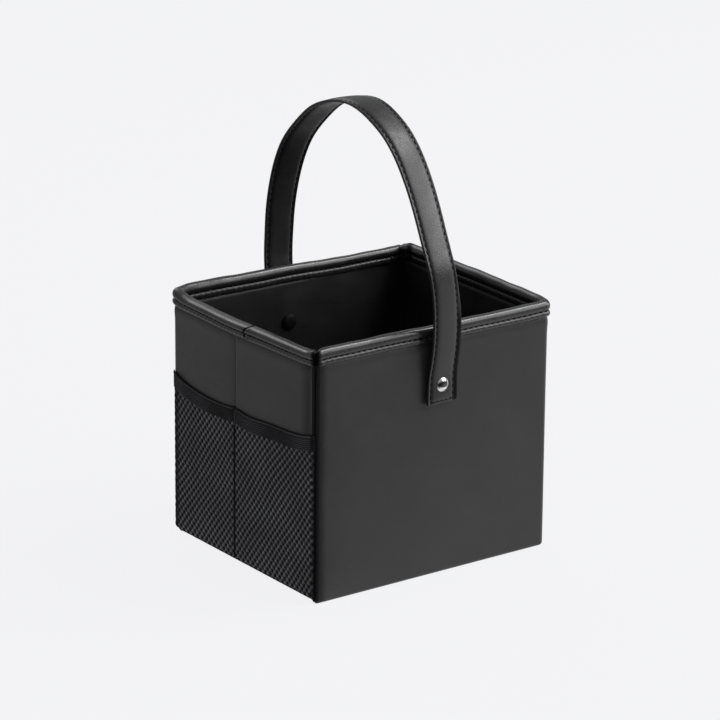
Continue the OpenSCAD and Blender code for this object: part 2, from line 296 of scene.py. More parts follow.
def lining_material(name, base):
    """Smooth coated lining cloth: a tight plain weave under a thin sheen."""
    m = Mat(name)
    weave = m.add("ShaderNodeTexWave", wave_type="BANDS", bands_direction="Z")
    weave.inputs["Scale"].default_value = 1000 / 0.9 / 6.2832 * PI
    m.link(m.co, weave.inputs["Vector"])
    cross = m.add("ShaderNodeTexWave", wave_type="BANDS", bands_direction="DIAGONAL")
    cross.inputs["Scale"].default_value = 1000 / 1.1 / 6.2832 * PI
    m.link(m.co, cross.inputs["Vector"])
    cloud = m.noise(34, 3.0, 0.55)
    fleck = m.noise(2.2, 2.0, 0.6)
    col = m.ramp(m.math("MULTIPLY_ADD", fleck, 0.35, m.math("MULTIPLY", cloud, 0.65)),
                 [(0.34, grey(base * 0.70)), (0.5, grey(base)), (0.66, grey(base * 1.35))])
    h = m.math("ADD", m.math("MULTIPLY", weave.outputs["Fac"], 0.5), m.math("MULTIPLY", cross.outputs["Fac"], 0.5))
    n = m.bump(h, 0.22, 0.08)
    n = m.bump(cloud, 0.15, 1.5, n)
    r = m.remap(cloud, 0.35, 0.65, 0.42, 0.58)
    m.set(color=col, roughness=r, normal=n, Specular_IOR_Level=0.28)
    return m.m


M_LINING = lining_material("lining_cloth", 0.0135)


def knit_material():
    """Knitted mesh strands: twisted filaments, with a painted highlight on their outer tops and painted shade low down
    on their sides.
    """
    m = Mat("mesh_knit")
    x, y, z = m.xyz()
    bend = m.math("MAXIMUM", m.math("SUBTRACT", m.math("ABSOLUTE", y), 0.090), 0.0)
    away = m.math("ADD", x, 0.105)
    away = m.math("SQRT", m.math("ADD", m.math("MULTIPLY", away, away), m.math("MULTIPLY", bend, bend)))
    depth = m.remap(away, 0.00555, 0.00650, 0.0, 1.0)
    twist = m.add("ShaderNodeTexWave", wave_type="BANDS", bands_direction="DIAGONAL")
    twist.inputs["Scale"].default_value = 1000 / 0.42 / 6.2832 * PI
    twist.inputs["Distortion"].default_value = 2.5
    twist.inputs["Detail"].default_value = 2
    m.link(m.co, twist.inputs["Vector"])
    fleck = m.noise(1.6, 3.0, 0.6)
    cloud = m.noise(26, 2.0, 0.5)
    # painted highlight and shade: colour and sheen rise the further a strand stands out from the wall
    lit = m.math("MULTIPLY", depth, m.math("MULTIPLY_ADD", fleck, 0.7, 0.6))
    lit = m.math("MULTIPLY", lit, m.math("MULTIPLY_ADD", cloud, 0.5, 0.75))
    col = m.ramp(lit, [(0.0, (0.007, 0.007, 0.0077)), (0.38, (0.022, 0.022, 0.0238)), (0.72, (0.064, 0.064, 0.069)), (1.0, (0.145, 0.145, 0.156))])
    shine = m.remap(depth, 0.35, 0.9, 0.02, 0.55)
    n = m.bump(m.math("ADD", twist.outputs["Fac"], m.math("MULTIPLY", fleck, 0.5)), 0.35, 0.10)
    m.set(color=col, roughness=m.remap(fleck, 0.3, 0.7, 0.48, 0.70), normal=n, Specular_IOR_Level=shine)
    return m.m


M_MESH = knit_material()


# A dark sheet just behind the knit: painted shade, so the mesh holes read dark.
def shade_sheet_material():
    m = Mat("mesh_shade_sheet")
    tiny = m.voronoi(0.9, "F1")
    fleck = m.noise(3, 2.0, 0.6)
    col = m.ramp(fleck, [(0.35, (0.007, 0.007, 0.0077)), (0.65, (0.013, 0.013, 0.0142))])
    n = m.bump(tiny, 0.4, 0.15)
    m.set(color=col, roughness=m.remap(fleck, 0.3, 0.7, 0.78, 0.92), normal=n, Specular_IOR_Level=0.02)
    return m.m


M_MESH_SHADE_SHEET = shade_sheet_material()


def elastic_material():
    """Ribbed elastic ribbon: fine crosswise cords and brushed yarn, with a painted highlight on its most proud parts.
    """
    m = Mat("elastic_ribbon")
    cords = m.add("ShaderNodeTexWave", wave_type="BANDS", bands_direction="Y")
    cords.inputs["Scale"].default_value = 1000 / 0.8 / 6.2832 * PI
    cords.inputs["Distortion"].default_value = 0.8
    m.link(m.co, cords.inputs["Vector"])
    fuzz = m.noise(0.8, 4.0, 0.7)
    cloud = m.noise(14, 2.0, 0.5)
    tone = m.math("MULTIPLY_ADD", fuzz, 0.5, m.math("MULTIPLY", cloud, 0.5))
    col = m.ramp(tone, [(0.36, (0.0028, 0.0028, 0.0034)), (0.52, (0.0068, 0.0068, 0.0080)), (0.68, (0.015, 0.015, 0.0172))])
    x, y, z = m.xyz()
    # painted highlight: the most proud parts of the ribbon are made lighter
    high = m.math("MULTIPLY", m.remap(x, -0.11180, -0.11145, 1.0, 0.0), m.math("MULTIPLY_ADD", fuzz, 1.1, 0.2))
    col = m.mix(high, col, (0.046, 0.046, 0.051))
    h = m.math("ADD", m.math("MULTIPLY", cords.outputs["Fac"], 0.7), m.math("MULTIPLY", fuzz, 0.6))
    m.set(color=col, roughness=m.remap(fuzz, 0.3, 0.7, 0.60, 0.82), normal=m.bump(h, 0.5, 0.14), Specular_IOR_Level=0.16)
    return m.m


M_ELASTIC = elastic_material()


def thread_material(name, base, rough, spec=0.35):
    m = Mat(name)
    ply = m.add("ShaderNodeTexWave", wave_type="BANDS", bands_direction="DIAGONAL")
    ply.inputs["Scale"].default_value = 1000 / 0.55 / 6.2832 * PI
    m.link(m.co, ply.inputs["Vector"])
    fuzz = m.noise(1.4, 3.0, 0.6)
    col = m.ramp(fuzz, [(0.35, grey(base * 0.6)), (0.65, grey(base * 1.5))])
    n = m.bump(ply.outputs["Fac"], 0.55, 0.10)
    m.set(color=col, roughness=m.remap(fuzz, 0.3, 0.7, rough - 0.08, rough + 0.10), normal=n, Specular_IOR_Level=spec)
    return m.m


M_THREAD = thread_material("stitch_thread", 0.0018, 0.62, 0.06)
# the inner rows and the pocket hems use a lighter copy of the thread: painted highlight for stitches that catch the
# light
M_THREAD_PAINTED_LIT = thread_material("stitch_thread_painted_lit", 0.060, 0.42)


def metal_material():
    m = Mat("polished_rivet")
    scuff = m.noise(3.0, 4.0, 0.7)
    hair = m.noise(0.35, 2.0, 0.6, m.scaled((1, 1, 6)))
    col = m.ramp(scuff, [(0.35, (0.60, 0.60, 0.61)), (0.65, (0.80, 0.80, 0.81))])
    n = m.bump(hair, 0.06, 0.03)
    # a dark band painted across the middle of the dome is a painted reflection of the dark surroundings; the crown and
    # lower edge keep the polished metal colour
    x, y, z = m.xyz()
    dx = m.math("MULTIPLY", m.math("SUBTRACT", m.math("ABSOLUTE", x), 0.0041), 0.55)
    dz = m.math("SUBTRACT", z, 0.1547)
    near = m.math("SQRT", m.math("ADD", m.math("MULTIPLY", dx, dx), m.math("MULTIPLY", dz, dz)))
    dark_reflection_dist = m.math("ADD", near, m.math("MULTIPLY_ADD", scuff, 0.0008, -0.0004))
    dull = m.math("MULTIPLY", m.remap(dark_reflection_dist, 0.0020, 0.0028, 0.96, 0.0), m.math("GREATER_THAN", m.math("ABSOLUTE", y), 0.1000))
    col = m.mix(dull, col, (0.045, 0.045, 0.048))
    m.set(color=col, roughness=m.remap(scuff, 0.35, 0.68, 0.10, 0.22), normal=n, Metallic=1.0)
    return m.m


M_RIVET = metal_material()


def cap_material():
    m = Mat("black_cap")
    scuff = m.noise(2.4, 4.0, 0.65)
    col = m.ramp(scuff, [(0.35, grey(0.0012)), (0.65, grey(0.0045))])
    m.set(color=col, roughness=m.remap(scuff, 0.35, 0.65, 0.48, 0.66), normal=m.bump(scuff, 0.15, 0.05), Specular_IOR_Level=0.10)
    return m.m


M_CAP = cap_material()


def board_material():
    m = Mat("grey_board")
    fibre = m.noise(3.2, 4.0, 0.7, m.scaled((1, 1, 0.25)))
    fleck = m.voronoi(2.4, "F1")
    tone = m.math("MULTIPLY_ADD", fleck, 0.3, m.math("MULTIPLY", fibre, 0.7))
    col = m.ramp(tone, [(0.30, (0.17, 0.155, 0.135)), (0.5, (0.25, 0.23, 0.20)), (0.72, (0.33, 0.31, 0.27))])
    m.set(color=col, roughness=m.remap(fibre, 0.3, 0.7, 0.82, 0.94), normal=m.bump(fibre, 0.35, 0.15), Specular_IOR_Level=0.2)
    return m.m


M_BOARD = board_material()


# ------------------------------------------------------------- mesh helpers
def make(name, V, F, mat, caps=(), outward=True):
    me = bpy.data.meshes.new(name)
    me.from_pydata((np.asarray(V, float) * MM).tolist(), [], F)
    me.polygons.foreach_set("use_smooth", [True] * len(me.polygons))
    me.update()
    ends = {len(me.polygons) + c if c < 0 else c for c in caps}
    for c in ends:
        for li in me.polygons[c].loop_indices:
            me.edges[me.loops[li].edge_index].use_edge_sharp = True
    me.materials.append(mat)
    if outward:
        import bmesh
        bm = bmesh.new()
        bm.from_mesh(me)
        bmesh.ops.recalc_face_normals(bm, faces=bm.faces)
        bm.to_mesh(me)
        bm.free()
    ob = bpy.data.objects.new(name, me)
    bpy.context.scene.collection.objects.link(ob)
    return ob


def loft(S, caps=True, close=True):
    """Skin a row of sections (n, m, 3). Returns vertices, faces, end-cap indices."""
    n, m, _ = S.shape
    j = np.arange(m if close else m - 1)
    j2 = (j + 1) % m
    F = []
    for k in range(n - 1):
        a, b = k * m, (k + 1) * m
        F.extend(zip((a + j).tolist(), (a + j2).tolist(), (b + j2).tolist(), (b + j).tolist()))
    if not caps:
        return S.reshape(-1, 3), F, ()
    F.append(tuple(range(m - 1, -1, -1)))
    F.append(tuple(range((n - 1) * m, n * m)))
    return S.reshape(-1, 3), F, (-2, -1)


# The closed outline of the walls, seen from above, going round from the left
# end of the front wall. d is the depth below the outer face.
HW, HD, R = 110.0, 95.0, 5.0
ARC = R * PI / 2
SEG_LEN = [210.0, ARC, 180.0, ARC, 210.0, ARC, 180.0, ARC]
SEG_AT = [sum(SEG_LEN[:i]) for i in range(8)]
RING = sum(SEG_LEN)


def ring_xy(seg, t, d):
    d = np.asarray(d, float)
    rc = np.maximum(R - d, 0.6)
    ax, ay = HW - d - rc, HD - d - rc
    if seg == 0:
        return t * ax / 105, -(HD - d)
    if seg == 2:
        return HW - d, t * ay / 90
    if seg == 4:
        return t * ax / 105, HD - d
    if seg == 6:
        return -(HW - d), t * ay / 90
    a = {1: -90, 3: 0, 5: 90, 7: 180}[seg] + 90 * t
    c, s = math.cos(math.radians(a)), math.sin(math.radians(a))
    sx, sy = {1: (1, -1), 3: (1, 1), 5: (-1, 1), 7: (-1, -1)}[seg]
    return sx * ax + rc * c, sy * ay + rc * s


def span(marks):
    """marks: [(place, step to the next), ...] and the last place."""
    out = []
    for (a, step), (b, _) in zip(marks[:-1], marks[1:]):
        n = max(1, int(math.ceil(abs(b - a) / step - 1e-6)))
        out += [a + (b - a) * i / n for i in range(n)]
    return out


def stations(step, corner_n, near=None, joint=False, crease=False):
    near = near or step
    out = []
    fr = [(-105, near), (-95, step), (95, near), (105, 0)]
    side = [(-90, near), (-80, step), (-9, near), (-2.0, 0.5 if crease else near), (0, 0.5 if crease else near),
            (2.0, near), (9, step), (80, near), (90, 0)]
    left = [(90, near), (80, step), (24, near), (CREASE + 4, near), (CREASE + 2, 0.35 if crease else near), (CREASE - 2, near), (0, near), (-9, near)]
    if joint:
        left += [(-12.0, near), (-23, step)]
        left[left.index((0, near))] = (-2.5, 0.25)
        left.remove((-9, near))
    left += [(-80, near), (-90, 0)]
    if not joint:
        left[-3] = (-9, step)
    else:
        left[-3] = (-23, step)
    mirror = lambda m: [(-a, m[len(m) - 2 - i][1] if i < len(m) - 1 else 0) for i, (a, _) in enumerate(reversed(m))]
    arc = [i / corner_n for i in range(corner_n)]
    for seg in range(8):
        if seg == 0:
            ts = span(fr)
        elif seg == 2:
            ts = span(side)
        elif seg == 4:
            ts = [-t for t in span(fr)]
        elif seg == 6:
            ts = span(left)
        else:
            ts = arc
        for t in ts:
            if seg in (1, 3, 5, 7):
                s = SEG_AT[seg] + t * ARC
            elif seg == 0:
                s = t + 105
            elif seg == 2:
                s = SEG_AT[2] + t + 90
            elif seg == 4:
                s = SEG_AT[4] + 105 - t
            else:
                s = SEG_AT[6] + 90 - t
            out.append((seg, t, s))
    k = next(i for i, (g, t, s) in enumerate(out) if g == 0 and abs(t + 95) < 1e-6)
    return out[k:] + out[:k]


def at_s(s):
    s = s % RING
    seg = max(i for i in range(8) if SEG_AT[i] <= s + 1e-9)
    r = s - SEG_AT[seg]
    t = {0: r - 105, 2: r - 90, 4: 105 - r, 6: 90 - r}.get(seg, r / ARC)
    return seg, t


def zone_of(seg, t):
    if seg == 0:
        return "front" if abs(t) < 95 else ("FR" if t > 0 else "FL")
    if seg == 4:
        return "rear" if abs(t) < 95 else ("RR" if t > 0 else "RL")
    if seg == 2:
        return "FR" if t < -80 else "RR" if t > 80 else "right_front" if t < 0 else "right_rear"
    if seg == 6:
        return "FL" if t < -80 else "RL" if t > 80 else "left_front" if t < -9 else "left_rear" if t > CREASE + 4 else "CL"
    return {1: "FR", 3: "RR", 5: "RL", 7: "FL"}[seg]


WORD = {"FL": "corner_fl", "FR": "corner_fr", "RL": "corner_rl", "RR": "corner_rr", "CL": "crease_l"}
RIDE = {"front": "front_wall", "rear": "rear_wall", "left_front": "left_front_panel", "left_rear": "left_rear_panel",
        "right_front": "right_front_panel", "right_rear": "right_rear_panel"}
BEND = {"FL": ("front_wall", "left_front_panel", (-102, -95), (-110, -87)),
        "FR": ("front_wall", "right_front_panel", (102, -95), (110, -87)),
        "RL": ("left_rear_panel", "rear_wall", (-110, 87), (-102, 95)),
        "RR": ("rear_wall", "right_rear_panel", (102, 95), (110, 87)),
        "CL": ("left_front_panel", "left_rear_panel", (-110, -4), (-110, 4))}
NEXT_TO = {"FL": ("front", "left_front"), "FR": ("front", "right_front"), "RL": ("left_rear", "rear"),
           "RR": ("rear", "right_rear"), "CL": ("left_front", "left_rear")}


def bind(ob, zone):
    if zone in RIDE:
        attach(ob, RIDE[zone])
    else:
        a, b, s, e = BEND[zone]
        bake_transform(ob)
    return ob


def walls_of(zone):
    return (zone,) if zone in RIDE else NEXT_TO[zone]


def ring_sweep(base, st, profile, mat, suffix):
    """Sweep a closed profile round the walls, one piece for each wall panel and
    one for each corner or crease that bends between two of them."""
    rows = []
    for g, t, s in st:
        d, z = profile(g, t, s)
        x, y = ring_xy(g, t, d)
        rows.append(np.stack([x + 0 * d, y + 0 * d, z], axis=1))
    rows = np.array(rows)
    n = len(st)
    zones = []
    for i in range(n):
        g, t, _ = st[i]
        g2, t2, _ = st[(i + 1) % n]
        if g2 != g:
            t2 = {0: 105, 2: 90, 4: -105, 6: -90}.get(g, 1.0)
        zones.append(zone_of(g, (t + t2) / 2))
    i = 0
    while i < n:
        j = i
        while j < n and zones[j] == zones[i]:
            j += 1
        ids = [k % n for k in range(i, j + 1)]
        V, F, caps = loft(rows[ids])
        name = f"{base}_{WORD.get(zones[i], zones[i])}"
        ob = make(name, V, F, mat, caps)
        bind(ob, zones[i])
        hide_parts(*[f"{w}_{suffix}" for w in walls_of(zones[i])])
        i = j


def bumps(x, y, z, seed):
    """Slow, shallow unevenness of a hand-covered panel, from 0 to 1."""
    k = [(0.031, 0.027, 1.3), (0.052, -0.041, 2.9), (-0.023, 0.063, 4.2), (0.083, 0.035, 0.7), (0.047, 0.091, 5.1)]
    a = np.abs(x) * 0.0 + x + y
    v = 0
    for i, (p, q, f) in enumerate(k):
        v = v + np.sin(p * (a + 13 * seed) + q * z * 1.1 + f + seed * 1.7) / (i + 2)
    return 0.5 + 0.5 * np.clip(v / 1.2, -1, 1)


def corner_gap_of(seg, t):
    """Distance round the outside from the nearest sewn corner."""
    if seg in (1, 3, 5, 7):
        return abs(t - 0.5) * ARC
    return (105 if seg in (0, 4) else 90) - abs(t) + ARC / 2


# ------------------------------------------------------------- outer leather
Z_SKIN = np.array([189.5, 188.4, 187.8, 187.2, 186.6, 186.0, 185.4, 184.7, 183.9, 183.0, 181.9, 180.4, 178, 174.5] + list(np.linspace(169, 12, 21)) + [8.5, 6, 4.4, 3])
ARC_A = np.radians([15, 30, 45, 60, 75, 90])


def ease(v, a, b):
    w = np.clip((np.asarray(v, float) - a) / (b - a), 0, 1)
    return w * w * (3 - 2 * w)


def foot_lift(seg, t):
    """The left wall's lower edge is turned in a little above the floor."""
    if seg == 6:
        past = 90 + t + ARC / 2
    elif seg == 7:
        past = (0.5 - t) * ARC
    elif seg == 5:
        return 4.2 * float(ease(t, 0.02, 0.45))
    else:
        return 0.0
    return 3.0 * float(ease(past, -0.5, 3.0)) + 1.2 * float(ease(past, 175, 187))


def seam_gap(seg, t):
    """Signed distance round the outside from the sewn corner: below 0 on the
    side wall, above 0 on the front wall; far away elsewhere."""
    if seg == 7:
        return (t - 0.5) * ARC
    if seg == 0:
        return t + 105 + ARC / 2
    if seg == 6:
        return -(90 + t) - ARC / 2
    return 999.0


REAR_X = [-110, -60, 0, 30, 50, 75, 92, 104, 110]
REAR_LIFT = [1.6, 1.0, -0.6, -1.9, -2.5, -2.6, -2.8, -2.4, -1.6]
RIGHT_Y = [-95, -85, -60, -35, 0, 40, 82, 95]
RIGHT_LIFT = [0.2, 1.0, 1.8, 1.8, 1.6, 1.3, 1.6, -0.6]


def rim_lift(x, y, s):
    """How far the soft rim stands above or below its straight line."""
    left = ease(x, -96, -108) * (-0.7 - 2.0 * np.exp(-(((y - 30) / 60) ** 2)))
    rear = ease(y, 80, 94) * np.interp(x, REAR_X, REAR_LIFT)
    right = ease(x, 96, 108) * np.interp(y, RIGHT_Y, RIGHT_LIFT)
    front = ease(y, -80, -94) * (0.7 - 1.2 * ease(x, -60, 70))
    return left + rear + right + front + 0.22 * math.sin(2 * PI * s / RING * 5 + 1) + 0.15 * math.sin(2 * PI * s / RING * 11 + 2)


def hem_share(x, y):
    """The hem is narrower along the front and the left."""
    return 1 - 0.18 * np.maximum(ease(y, -80, -94), ease(x, -96, -108))


def skin_profile(seg, t, s):
    x, y = ring_xy(seg, t, 0.0)
    g = seam_gap(seg, t)
    a = abs(g)
    # the wrap is pulled down into its seam, and one edge makes a thin ridge
    cut = 0.40 * math.exp(-((a / 0.60) ** 2)) + (0.55 * math.exp(-a / 7.0) if g < 0 else 0.50 * math.exp(-a / 4.5))
    if g < 0:
        cut -= 0.34 * math.exp(-(((a - 3.4) / 0.75) ** 2))
    if seg in (2, 6):
        off = t - (CREASE if seg == 6 else 0)
        cut += 0.85 * math.exp(-off / 4.6) if off > 0 else 0.85 * math.exp(off / 0.7) - 0.16 * math.exp(-(((off + 1.6) / 1.1) ** 2))
    under = 192.2 - 5.4 * float(hem_share(x, y)) + float(rim_lift(x, y, s))
    tuck = 1.25 * np.exp(-np.clip(under + 0.4 - Z_SKIN, 0, 400) / 1.7) - 0.42 * np.exp(-(((Z_SKIN - under + 5.5) / 4.8) ** 2))
    d = np.minimum(0.16 * bumps(x, y, Z_SKIN, 1) + cut + tuck, 0.86)
    da, za = 3 - 3 * np.cos(ARC_A), 3 - 3 * np.sin(ARC_A)
    da = da + d[-1] * np.cos(ARC_A)
    out_d = np.concatenate([d, da, [4.85]])
    out_z = np.concatenate([Z_SKIN, za, [0.0]])
    b = ARC_A[::-1]
    in_d = np.concatenate([[4.85], 3 - 2.2 * np.cos(b) + d[-1] * np.cos(b), (d + 0.8)[::-1]])
    in_z = np.concatenate([[0.8], 3 - 2.2 * np.sin(b), Z_SKIN[::-1]])
    z = np.concatenate([out_z, in_z])
    return np.concatenate([out_d, in_d]), z + foot_lift(seg, t) * np.exp(-z / 14)


ring_sweep("leather", stations(5.0, 22, near=1.6, crease=True), skin_profile, M_SHELL, "skin")

# ------------------------------------------------------------------- lining
Z_LIN = np.array([188.0, 184, 180] + list(np.linspace(172, 10, 24)) + [6, 3, 1.4])


def lining_profile(seg, t, s):
    x, y = ring_xy(seg, t, 5.0)
    u = bumps(x, y, Z_LIN, 5)
    wrinkle = np.exp(-((x - 104) / 34) ** 2) * np.exp(-((y - 89) / 34) ** 2)
    fold = 0.5 + 0.5 * np.sin((x + y) * 0.32 + Z_LIN * 0.05)
    amp = np.clip((184 - Z_LIN) / 14, 0, 1) * np.clip((Z_LIN - 3) / 10, 0, 1)
    if seg in (0, 4):
        cx = 3.7 if seg == 0 else -3.7
        amp = amp * (1 - np.exp(-(((x - cx) ** 2 + (Z_LIN - 154) ** 2) / 13.0 ** 2)))
    d = 5.0 + amp * (0.5 * u + 0.7 * wrinkle * fold)
    z = np.concatenate([Z_LIN, Z_LIN[::-1]])
    return np.concatenate([np.full(len(Z_LIN), 4.15), d[::-1]]), z + 0.6 * foot_lift(seg, t) * np.exp(-z / 14)


ring_sweep("lining", stations(5.0, 8, near=2.5), lining_profile, M_LINING, "lining")

# ------------------------------------------------------------------ rim roll
PITCH_ST = RING / 156
# Half of the section: depth, height, share of the roll, share of the hem
HALF = [(0.95, 200.15, 1, 0), (-0.40, 199.45, 1, 0), (-1.30, 198.30, 1, 0), (-1.85, 196.95, 1, 0), (-2.02, 195.50, 1, 0),
        (-1.84, 194.30, .9, 0), (-1.36, 193.35, .6, 0), (-0.80, 192.70, .2, .0), (-0.50, 192.25, 0, .0), (-0.78, 192.02, 0, .3),
        (-1.22, 191.60, 0, .8), (-1.62, 191.00, 0, .9), (-1.86, 190.20, 0, 1), (-1.92, 189.40, 0, 1), (-1.82, 188.50, 0, 1),
        (-1.50, 187.65, 0, .9), (-0.95, 187.10, 0, .6), (-0.15, 186.80, 0, .2)]
HALF = np.array(HALF)
TOPP = np.array([[2.5, 200.40, 1, 0]])
INSIDE = np.array([[0.03, 187.3, 0, 0], [0.03, 196.9, 0, 0], [4.97, 196.9, 0, 0], [4.97, 187.3, 0, 0]])
MIRR = HALF[::-1].copy()
MIRR[:, 0] = 5 - np.where(MIRR[:, 1] < 192.1, MIRR[:, 0] * 0.62 - 0.1, MIRR[:, 0])
RIM = np.vstack([TOPP, HALF, INSIDE, MIRR])
SIDE = np.concatenate([[0], -np.ones(len(HALF)), np.zeros(4), np.ones(len(HALF))])
AWAY = np.stack([RIM[:, 0] - 2.5, (RIM[:, 1] - 194.5) * 0.6], 1)
AWAY /= np.maximum(np.linalg.norm(AWAY, axis=1), 1e-6)[:, None]
FIRM = (RIM[:, 2] + RIM[:, 3] > 0).astype(float)


def rim_crown(x, y):
    """The roll is pressed a little flatter along the left wall."""
    side = ease(x, -96, -108) * ease(y, 92, 70) * (1 - ease(y, -80, -94))
    return 1 - 0.04 * ease(y, -80, -94) - side * (0.27 + 0.06 * ease(y, -40, 30))


def rim_profile(seg, t, s):
    d, z = RIM[:, 0].copy(), RIM[:, 1].copy()
    ph = 2 * PI * s / PITCH_ST
    # the leather puckers between the stitches and dips where the thread goes in
    puck = 0.13 * math.cos(ph) * RIM[:, 3] + 0.05 * math.cos(ph) * RIM[:, 2] * np.clip((197 - RIM[:, 1]) / 4, 0, 1)
    slow = 0.12 * math.sin(s * 0.11) + 0.09 * math.sin(s * 0.23 + 1)
    grow = puck + slow * RIM[:, 2]
    # folded mitre in each corner
    x, y = ring_xy(seg, t, d)
    rc = np.maximum(R - d, 0.6)
    px, py = np.abs(x) - (HW - d - rc + rc * 0.7071), np.abs(y) - (HD - d - rc + rc * 0.7071)
    far = np.hypot(px, py)
    wide = np.where(SIDE > 0, 1.25, 1.05)
    notch = np.exp(-((far / wide) ** 2)) * (x * y > 0)
    swell = np.exp(-(((far - 3.2) / 1.7) ** 2)) * (x * y > 0)
    deep = 1.0 if x.mean() < 0 else 0.45
    grow = grow - deep * notch * (1.15 * RIM[:, 2] + 0.60 * RIM[:, 3] + 0.15) + 0.25 * swell * RIM[:, 2]
    # the binding's own end laps over its start on the left side
    if seg == 6:
        edge = JOINT_Y - 4.5 * ((z - 193.5) / 7.0) ** 2
        q = edge - t
        over = np.where(q > 0, 0.95 * np.exp(-q / 11.0) * np.clip(q / 0.3, 0, 1) ** 0.5, -0.85 * np.exp(q / 1.2))
        grow = grow + over * np.clip(RIM[:, 2] + RIM[:, 3], 0, 1)
    d = d + AWAY[:, 0] * grow * FIRM
    z = z + AWAY[:, 1] * grow * FIRM
    z = np.where(z > 192.2, 192.2 + (z - 192.2) * rim_crown(x, y), 192.2 - (192.2 - z) * hem_share(x, y))
    return d, z + rim_lift(x, y, s)


ring_sweep("rim", stations(1.3, 24, near=1.0, joint=True), rim_profile, M_BIND, "binding")

# ---------------------------------------------------------------- stitching
RINGS_X = [(-0.50, 0.0), (-0.46, 0.45), (-0.34, 0.86), (0.0, 1.0), (0.34, 0.86), (0.46, 0.45), (0.50, 0.0)]


def stitch_unit(length, width, height):
    """One sewn stitch: a short thread that dives in at both ends."""
    pts, faces = [], []
    for a, r in RINGS_X:
        dip = -height * 0.9 * (abs(a) / 0.5) ** 3
        for k in range(8):
            w = 2 * PI * k / 8
            pts.append((a * length, width / 2 * max(r, 0.12) * math.cos(w), height / 2 * max(r, 0.12) * math.sin(w) + dip))
    n = 8
    for i in range(len(RINGS_X) - 1):
        for k in range(n):
            faces.append((i * n + k, (i + 1) * n + k, (i + 1) * n + (k + 1) % n, i * n + (k + 1) % n))
    faces.append(tuple(range(n - 1, -1, -1)))
    faces.append(tuple(range((len(RINGS_X) - 1) * n, len(RINGS_X) * n)))
    return np.array(pts), faces


class Threads:
    def __init__(self):
        self.v, self.f, self.n = [], [], 0

    def add(self, unit, at, along, out, lean=0.0):
        pts, faces = unit
        along, out = np.array(along, float), np.array(out, float)
        along /= np.linalg.norm(along)
        out = out - along * (out @ along)
        out /= np.linalg.norm(out)
        side = np.cross(out, along)
        a2 = along * math.cos(lean) + side * math.sin(lean)
        s2 = np.cross(out, a2)
        self.v.append(np.array(at) + pts[:, :1] * a2 + pts[:, 1:2] * s2 + pts[:, 2:] * out)
        self.f += [tuple(i + self.n for i in f) for f in faces]
        self.n += len(pts)

    def done(self, name, mat):
        return make(name, np.vstack(self.v), self.f, mat) if self.v else None


unit_rim = stitch_unit(3.5, 1.15, 1.0)
unit_rim_in = stitch_unit(3.3, 0.8, 0.75)
rows = {}
for k in range(156):
    s = (k + 0.5) * PITCH_ST
    seg, t = at_s(s)
    if corner_gap_of(seg, t) < 2.2:
        continue
    if seg == 6 and abs(t - JOINT_Y + 0.8) < 1.6:
        continue
    z0 = zone_of(seg, t)
    for d, inner in ((-0.74, False), (5.66, True)):
        x0, y0 = ring_xy(seg, t, d)
        sa, ta = at_s(s - 0.6)
        sb, tb = at_s(s + 0.6)
        xa, ya = ring_xy(sa, ta, d)
        xb, yb = ring_xy(sb, tb, d)
        xo, yo = ring_xy(seg, t, d + (1 if inner else -1))
        z = 192.15 + float(rim_lift(x0, y0, s))
        key = (z0, inner)
        rows.setdefault(key, Threads()).add(unit_rim_in if inner else unit_rim, (float(x0), float(y0), z), (xb - xa, yb - ya, 0), (xo - x0, yo - y0, 0),
                                            0.05 if k % 2 else -0.02)
for (z0, inner), th in rows.items():
    ob = th.done(f"rim_stitch_{'in' if inner else 'out'}_{WORD.get(z0, z0)}", M_THREAD_PAINTED_LIT if inner else M_THREAD)
    bind(ob, z0)

# ------------------------------------------------------------------ pockets
END_Q = 90 + 5 * PI / 4 - 0.35


def wall_xyz(q, z, h):
    """Point of the pocket wall: q runs along it from the rear corner to the
    front one, round both rounded corners, h is the height above the leather."""
    q, z, h = np.broadcast_arrays(np.asarray(q, float), np.asarray(z, float), np.asarray(h, float))
    x, y = -110 - h, -q.copy()
    for sign in (1, -1):
        far = sign * q > 90
        a = PI + sign * (np.abs(q) - 90) / 5
        x = np.where(far, -105 + (5 + h) * np.cos(a), x)
        y = np.where(far, -sign * 90 + (5 + h) * np.sin(a), y)
    return np.stack([x, y, z], -1)


Q_FRONT = [(-9, 127.4), (0, 126.0), (11, 125.4), (22, 126.3), (34, 127.5), (49, 128.4), (63, 129.0), (77, 130.3), (89, 133.4), (95, 135.0)]
Q_REAR = [(-95, 135.8), (-89, 131.6), (-80, 128.7), (-70, 127.2), (-58, 125.6), (-44, 124.9), (-30, 125.2), (-18, 126.0), (-9, 127.4)]


def pocket_foot(q):
    q = np.asarray(q, float)
    return 3.0 * ease(94 - q, -0.5, 3.0) + 1.2 * ease(-q, 81, 93)


def smooth_curve(points, q):
    p = np.array(points, float)
    q = np.asarray(q, float)
    out = np.interp(q, p[:, 0], p[:, 1])
    for w in (3.0, 6.0):
        out = (out + np.interp(q - w, p[:, 0], p[:, 1]) + np.interp(q + w, p[:, 0], p[:, 1])) / 3 if w == 6.0 else out
    return out


def mouth(q):
    q = np.asarray(q, float)
    front = smooth_curve(Q_FRONT, np.maximum(q, -CREASE))
    rear = smooth_curve(Q_REAR, np.minimum(q, -CREASE))
    return np.where(q > -CREASE, front, rear)


def pocket_zone(y):
    return "RL" if y > 80 else "FL" if y < -80 else "left_rear" if y > CREASE + 4 else "left_front" if y < -9 else "CL"


A1, A2 = np.array([3.65, -2.58]), np.array([2.71, 3.38])
SUB = 6


def cell_height(al, be):
    """Height of the knit over one cell of its lattice: a fat twisted strand one
    way, a thinner tie the other way, and a hole between them."""
    a, b = al - np.floor(al), be - np.floor(be)
    da, db = np.minimum(a, 1 - a), np.minimum(b, 1 - b)
    fat = np.exp(-((da / 0.30) ** 2)) * (0.78 + 0.22 * np.cos(2 * PI * b))
    tie = 0.66 * np.exp(-((db / 0.22) ** 2))
    return np.clip(np.maximum(fat, tie), 0, 1)


